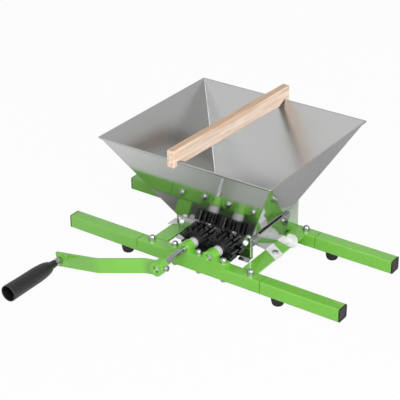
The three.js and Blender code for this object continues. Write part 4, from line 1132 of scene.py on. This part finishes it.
def grip_fixings():
    """The axle through the grip, its head deep in the open end, its collar, and the nut at the arm."""
    node = "grip_axle"
    start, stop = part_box(node)
    at = centre(node, "Y")
    radius, chamfer, socket_radius, socket_depth = 4 * MM, 0.6 * MM, 2.8 * MM, 2.4 * MM
    collar_front, collar, collar_radius = high("grip").y + GAP, 4.6 * MM, 6 * MM
    profile = in_mm([(5.8, 0), (6.7, 0.5), (7, 1.2), (7, 4), (4, 4)], start.y)
    profile += [(radius, collar_front), (collar_radius, collar_front)]
    profile += [(collar_radius, collar_front + collar), (radius, collar_front + collar)]
    profile += [(radius, stop.y - chamfer), (radius - chamfer, stop.y)]
    socket = rod(socket_radius, "Y", start.y - PAST, start.y + socket_depth, at, 6)
    add_piece(node, "bolt", cut(turned(profile, "Y", at), socket), 0.15 * MM)
    node = "grip_nut"
    start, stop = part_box(node)
    nut_radius, nut_bore = 8 * MM, 4.15 * MM
    nut = hexagon(nut_radius, "Y", start.y, stop.y, at, math.pi / 6 + crank_frame()[2])
    bore = rod(nut_bore, "Y", start.y - PAST, stop.y + PAST, at, 32)
    add_piece(node, "hexagon", cut(nut, bore), 0.3 * MM, 2, 25)


# Wooden bar


def wood_bar(sizes):
    """A planed bar with a notch at each end that drops over the hopper's rim."""
    node = "wooden_bar"
    start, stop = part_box(node)
    yaw, thick = math.radians(-2.1), 14 * MM
    end = ((stop.y - start.y) - thick * math.sin(abs(yaw))) / math.cos(yaw) / 2
    rim = end - 12 * MM
    seat = high("hopper").z + GAP
    hook, inside, slope = rim + 2 * MM, rim - 4.6 * MM, 15 * MM
    half = [(end, stop.z), (end, start.z), (hook, start.z), (hook, seat), (inside, seat)]
    half.append((inside - slope, start.z))
    bar = prism([(-y, z) for y, z in half] + half[::-1], "X", -thick / 2, thick / 2)
    moved(bar, Matrix.Translation((*centre(node, "Z"), 0)) @ Matrix.Rotation(yaw, 4, "Z"))
    add_piece(node, "wood", bar, sizes.wood_edge, 3)


# Stage


# Share of plain white in the floor, where it is seen and where polished metal mirrors it. The rest is
# the floor's own colour under the machine's shadow. In the metal the white begins some way out towards
# the crank's side, in metres from the machine's middle.
SEEN_WHITE = 0.96
MIRRORED_WHITE = 1.0
WHITE_TOWARDS = (-0.6, -0.8, 0)
WHITE_START, WHITE_END = 0.06, 0.22
# White of the sky in polished metal, in front of the machine and behind it
MIRRORED_SKY_FRONT = 1.0
MIRRORED_SKY_BACK = 0.52
SKY_FRONT, SKY_BACK = -0.8, 0.8
FLOOR_HALF = 6
# Where the lamps stand and point, and the sides of their squares
LAMP_TARGET = (0, 0.05, 0.1)
KEY_PLACE, KEY_SIZE = (0.9, -1.9, 2.1), 1.6
SIDE_PLACE, SIDE_SIZE = (2.1, -1.0, 0.9), 1.2
# The camera in metres, degrees and millimetres, found from the machine's straight edges
CAMERA_PLACE = Vector((1.11825, -1.61670, 1.19578))
CAMERA_AZIMUTH = 34.855
CAMERA_ELEVATION = 28.044
CAMERA_ROLL = -0.197
CAMERA_LENS = 116.42
CAMERA_SENSOR = 36
CAMERA_NEAR, CAMERA_FAR = 0.05, 50


def white_share(tree, seen, mirrored):
    """How much plain white a ray finds: a share where the camera looks, another in polished metal."""
    rays = add_node(tree, "ShaderNodeLightPath").outputs
    looks = (rays["Is Camera Ray"], rays["Is Transmission Ray"])
    straight = add_node(tree, "ShaderNodeMath", looks, operation="MAXIMUM")
    pairs = ((straight, seen), (rays["Is Glossy Ray"], mirrored))
    shares = [add_node(tree, "ShaderNodeMath", pair, operation="MULTIPLY") for pair in pairs]
    return add_node(tree, "ShaderNodeMath", shares, operation="MAXIMUM")


def studio_floor(colours):
    """A white floor that keeps a faint shadow, and a deeper one in the metal's reflections."""
    material, tree, _ = new_material("studio floor, matt white")
    place = add_node(tree, "ShaderNodeNewGeometry").outputs["Position"]
    distance = add_node(tree, "ShaderNodeVectorMath", (place, WHITE_TOWARDS), operation="DOT_PRODUCT")
    limits = (distance.outputs["Value"], WHITE_START, WHITE_END, 0, MIRRORED_WHITE)
    share = white_share(tree, SEEN_WHITE, add_node(tree, "ShaderNodeMapRange", limits))
    paper = add_node(tree, "ShaderNodeBsdfDiffuse", {"Color": (*colours.floor, 1)})
    white = add_node(tree, "ShaderNodeEmission", {"Color": (*grey(1), 1), "Strength": 1.0})
    mix = add_node(tree, "ShaderNodeMixShader", (share, paper, white))
    add_node(tree, "ShaderNodeOutputMaterial", {"Surface": mix})
    mesh = bpy.data.meshes.new("studio_floor")
    corners = [(x, y, 0) for x, y in rectangle(FLOOR_HALF, FLOOR_HALF)]
    mesh.from_pydata(corners, [], [(0, 1, 2, 3)])
    mesh.materials.append(material)
    floor = bpy.data.objects.new("studio_floor", mesh)
    bpy.context.scene.collection.objects.link(floor)


def studio_sky(strength):
    """An even world light, seen as white behind the machine and in its metal."""
    world = bpy.data.worlds.new("studio")
    bpy.context.scene.world = world
    world.use_nodes = True
    tree = world.node_tree
    tree.nodes.clear()
    direction = add_node(tree, "ShaderNodeTexCoord").outputs["Generated"]
    backward = add_node(tree, "ShaderNodeSeparateXYZ", (direction,)).outputs["Y"]
    limits = (backward, SKY_FRONT, SKY_BACK, MIRRORED_SKY_FRONT, MIRRORED_SKY_BACK)
    share = white_share(tree, 1.0, add_node(tree, "ShaderNodeMapRange", limits))
    light, white = (
        add_node(tree, "ShaderNodeBackground", {"Color": (*grey(1), 1), "Strength": level})
        for level in (strength, 1.0)
    )
    mix = add_node(tree, "ShaderNodeMixShader", (share, light, white))
    add_node(tree, "ShaderNodeOutputWorld", {"Surface": mix})


def lamp(name, place, size, power):
    data = bpy.data.lights.new(name, "AREA")
    data.shape = "SQUARE"
    data.size = size
    data.energy = power
    item = bpy.data.objects.new(name, data)
    item.location = place
    item.rotation_euler = (Vector(LAMP_TARGET) - Vector(place)).to_track_quat("-Z", "Y").to_euler()
    bpy.context.scene.collection.objects.link(item)


def studio_camera():
    """The camera that the machine was photographed with."""
    turns = ((CAMERA_AZIMUTH, "Z"), (90 - CAMERA_ELEVATION, "X"), (CAMERA_ROLL, "Z"))
    data = bpy.data.cameras.new("camera")
    data.lens = CAMERA_LENS
    data.sensor_width = CAMERA_SENSOR
    data.clip_start, data.clip_end = CAMERA_NEAR, CAMERA_FAR
    camera = bpy.data.objects.new("camera", data)
    matrix = Matrix.Translation(CAMERA_PLACE)
    for angle, axis in turns:
        matrix = matrix @ Matrix.Rotation(math.radians(angle), 4, axis)
    camera.matrix_world = matrix
    bpy.context.scene.collection.objects.link(camera)
    bpy.context.scene.camera = camera


# Operators


class SCRATTER_OT_stage(bpy.types.Operator):
    """Set up the floor, the light and the camera"""

    bl_idname = "scratter.stage"
    bl_label = "Stage"

    def execute(self, context):
        colours, _, lights = settings()
        context.scene.view_settings.view_transform = "Standard"
        studio_camera()
        studio_sky(lights.sky)
        studio_floor(colours)
        lamp("key_lamp", KEY_PLACE, KEY_SIZE, lights.key)
        lamp("side_lamp", SIDE_PLACE, SIDE_SIZE, lights.side)
        return {"FINISHED"}


class SCRATTER_OT_beams(bpy.types.Operator):
    """Make the middle tubes of the two beams"""

    bl_idname = "scratter.beams"
    bl_label = "Beams"

    def execute(self, context):
        for end, _ in ENDS:
            beam_tube(end, settings()[1])
        return {"FINISHED"}


class SCRATTER_OT_arms(bpy.types.Operator):
    """Make the four pull-out arms"""

    bl_idname = "scratter.arms"
    bl_label = "Arms"

    def execute(self, context):
        for end, side, sign in CORNERS:
            arm_tube(end, side, sign, settings()[1])
        return {"FINISHED"}


class SCRATTER_OT_end_caps(bpy.types.Operator):
    """Make the caps in the arms' ends"""

    bl_idname = "scratter.end_caps"
    bl_label = "End Caps"

    def execute(self, context):
        for end, side, sign in CORNERS:
            end_cap(end, side, sign, settings()[1])
        return {"FINISHED"}


class SCRATTER_OT_feet(bpy.types.Operator):
    """Make the rubber feet"""

    bl_idname = "scratter.feet"
    bl_label = "Feet"

    def execute(self, context):
        for end, side, _ in CORNERS:
            rubber_foot(end, side)
        return {"FINISHED"}


class SCRATTER_OT_cross_plates(bpy.types.Operator):
    """Make the bars between the beams"""

    bl_idname = "scratter.cross_plates"
    bl_label = "Cross Plates"

    def execute(self, context):
        for side, _ in SIDES:
            cross_plate(side)
        return {"FINISHED"}


class SCRATTER_OT_bearing_blocks(bpy.types.Operator):
    """Make the bars with the shafts' bushes"""

    bl_idname = "scratter.bearing_blocks"
    bl_label = "Bearing Blocks"

    def execute(self, context):
        for end, _ in ENDS:
            bearing_block(end)
        return {"FINISHED"}


class SCRATTER_OT_domed_bolts(bpy.types.Operator):
    """Make the bolts with domed nuts on the beams"""

    bl_idname = "scratter.domed_bolts"
    bl_label = "Domed Bolts"

    def execute(self, context):
        low_nut, tall_nut = 3.4 * MM, 6 * MM
        for end, _ in ENDS:
            for place in BEARING_BOLTS:
                domed_bolt(f"{end}_{place}_bearing_bolt", low_nut)
            for side, _ in SIDES:
                domed_bolt(f"{end}_{side}_frame_bolt", tall_nut)
        return {"FINISHED"}


class SCRATTER_OT_sheet_bolts(bpy.types.Operator):
    """Make the bolts of the collar and of the brackets"""

    bl_idname = "scratter.sheet_bolts"
    bl_label = "Sheet Bolts"

    def execute(self, context):
        for side, _ in SIDES:
            bracket_bolt(side)
            for end, sign in ENDS:
                collar_bolt(end, side, sign)
        return {"FINISHED"}


class SCRATTER_OT_shafts(bpy.types.Operator):
    """Make the two shafts and their collars"""

    bl_idname = "scratter.shafts"
    bl_label = "Shafts"

    def execute(self, context):
        for role in ROLES:
            shaft_bar(role)
            for end, _ in ENDS:
                spacer_ring(role, end)
        return {"FINISHED"}


class SCRATTER_OT_gears(bpy.types.Operator):
    """Make the two meshing gears"""

    bl_idname = "scratter.gears"
    bl_label = "Gears"

    def execute(self, context):
        for role in ROLES:
            gear_wheel(role)
        return {"FINISHED"}


class SCRATTER_OT_rollers(bpy.types.Operator):
    """Make the two crushing rollers"""

    bl_idname = "scratter.rollers"
    bl_label = "Rollers"

    def execute(self, context):
        for role in ROLES:
            crushing_roller(role)
        return {"FINISHED"}


class SCRATTER_OT_hopper(bpy.types.Operator):
    """Make the hopper"""

    bl_idname = "scratter.hopper"
    bl_label = "Hopper"

    def execute(self, context):
        hopper_shell(settings()[1])
        return {"FINISHED"}


class SCRATTER_OT_neck(bpy.types.Operator):
    """Make the neck plates and the deflectors between them"""

    bl_idname = "scratter.neck"
    bl_label = "Neck"

    def execute(self, context):
        for end, sign in ENDS:
            neck_plate(end, sign, settings()[1])
        for side, sign in SIDES:
            deflector_sheet(side, sign, settings()[1])
        return {"FINISHED"}


class SCRATTER_OT_brackets(bpy.types.Operator):
    """Make the side brackets and the rear stay"""

    bl_idname = "scratter.brackets"
    bl_label = "Brackets"

    def execute(self, context):
        for side, sign in SIDES:
            side_bracket(side, sign, settings()[1])
        rear_stay_sheet(settings()[1])
        return {"FINISHED"}


class SCRATTER_OT_crank(bpy.types.Operator):
    """Make the crank's arm and its clamp screw"""

    bl_idname = "scratter.crank"
    bl_label = "Crank"

    def execute(self, context):
        crank_bar()
        clamp_screw()
        return {"FINISHED"}


class SCRATTER_OT_grip(bpy.types.Operator):
    """Make the grip with its axle and nut"""

    bl_idname = "scratter.grip"
    bl_label = "Grip"

    def execute(self, context):
        grip_handle(settings()[1])
        grip_fixings()
        return {"FINISHED"}


class SCRATTER_OT_wooden_bar(bpy.types.Operator):
    """Make the wooden bar across the mouth"""

    bl_idname = "scratter.wooden_bar"
    bl_label = "Wooden Bar"

    def execute(self, context):
        wood_bar(settings()[1])
        return {"FINISHED"}


OPERATORS = (
    SCRATTER_OT_stage,
    SCRATTER_OT_beams,
    SCRATTER_OT_arms,
    SCRATTER_OT_end_caps,
    SCRATTER_OT_feet,
    SCRATTER_OT_cross_plates,
    SCRATTER_OT_bearing_blocks,
    SCRATTER_OT_domed_bolts,
    SCRATTER_OT_sheet_bolts,
    SCRATTER_OT_shafts,
    SCRATTER_OT_gears,
    SCRATTER_OT_rollers,
    SCRATTER_OT_hopper,
    SCRATTER_OT_neck,
    SCRATTER_OT_brackets,
    SCRATTER_OT_crank,
    SCRATTER_OT_grip,
    SCRATTER_OT_wooden_bar,
)


class SCRATTER_PT_panel(bpy.types.Panel):
    """The scratter's pieces, colours, sizes and lights"""

    bl_idname = "SCRATTER_PT_panel"
    bl_label = "Fruit Scratter"
    bl_space_type = "VIEW_3D"
    bl_region_type = "UI"
    bl_category = "Scratter"

    def draw(self, context):
        layout = self.layout
        for operator in OPERATORS:
            layout.operator(operator.bl_idname)
        for group in settings():
            box = layout.box()
            for name in group.__annotations__:
                box.prop(group, name)


GROUPS = (ScratterColours, ScratterSizes, ScratterLights)
CLASSES = (*GROUPS, *OPERATORS, SCRATTER_PT_panel)


def register():
    for item in CLASSES:
        bpy.utils.register_class(item)
    bpy.types.Scene.scratter_colours = bpy.props.PointerProperty(type=ScratterColours)
    bpy.types.Scene.scratter_sizes = bpy.props.PointerProperty(type=ScratterSizes)
    bpy.types.Scene.scratter_lights = bpy.props.PointerProperty(type=ScratterLights)


def unregister():
    del bpy.types.Scene.scratter_lights
    del bpy.types.Scene.scratter_sizes
    del bpy.types.Scene.scratter_colours
    for item in reversed(CLASSES):
        bpy.utils.unregister_class(item)


def main():
    register()
    for operator in OPERATORS:
        group, name = operator.bl_idname.split(".")
        getattr(getattr(bpy.ops, group), name)()


if __name__ == "__main__":
    main()
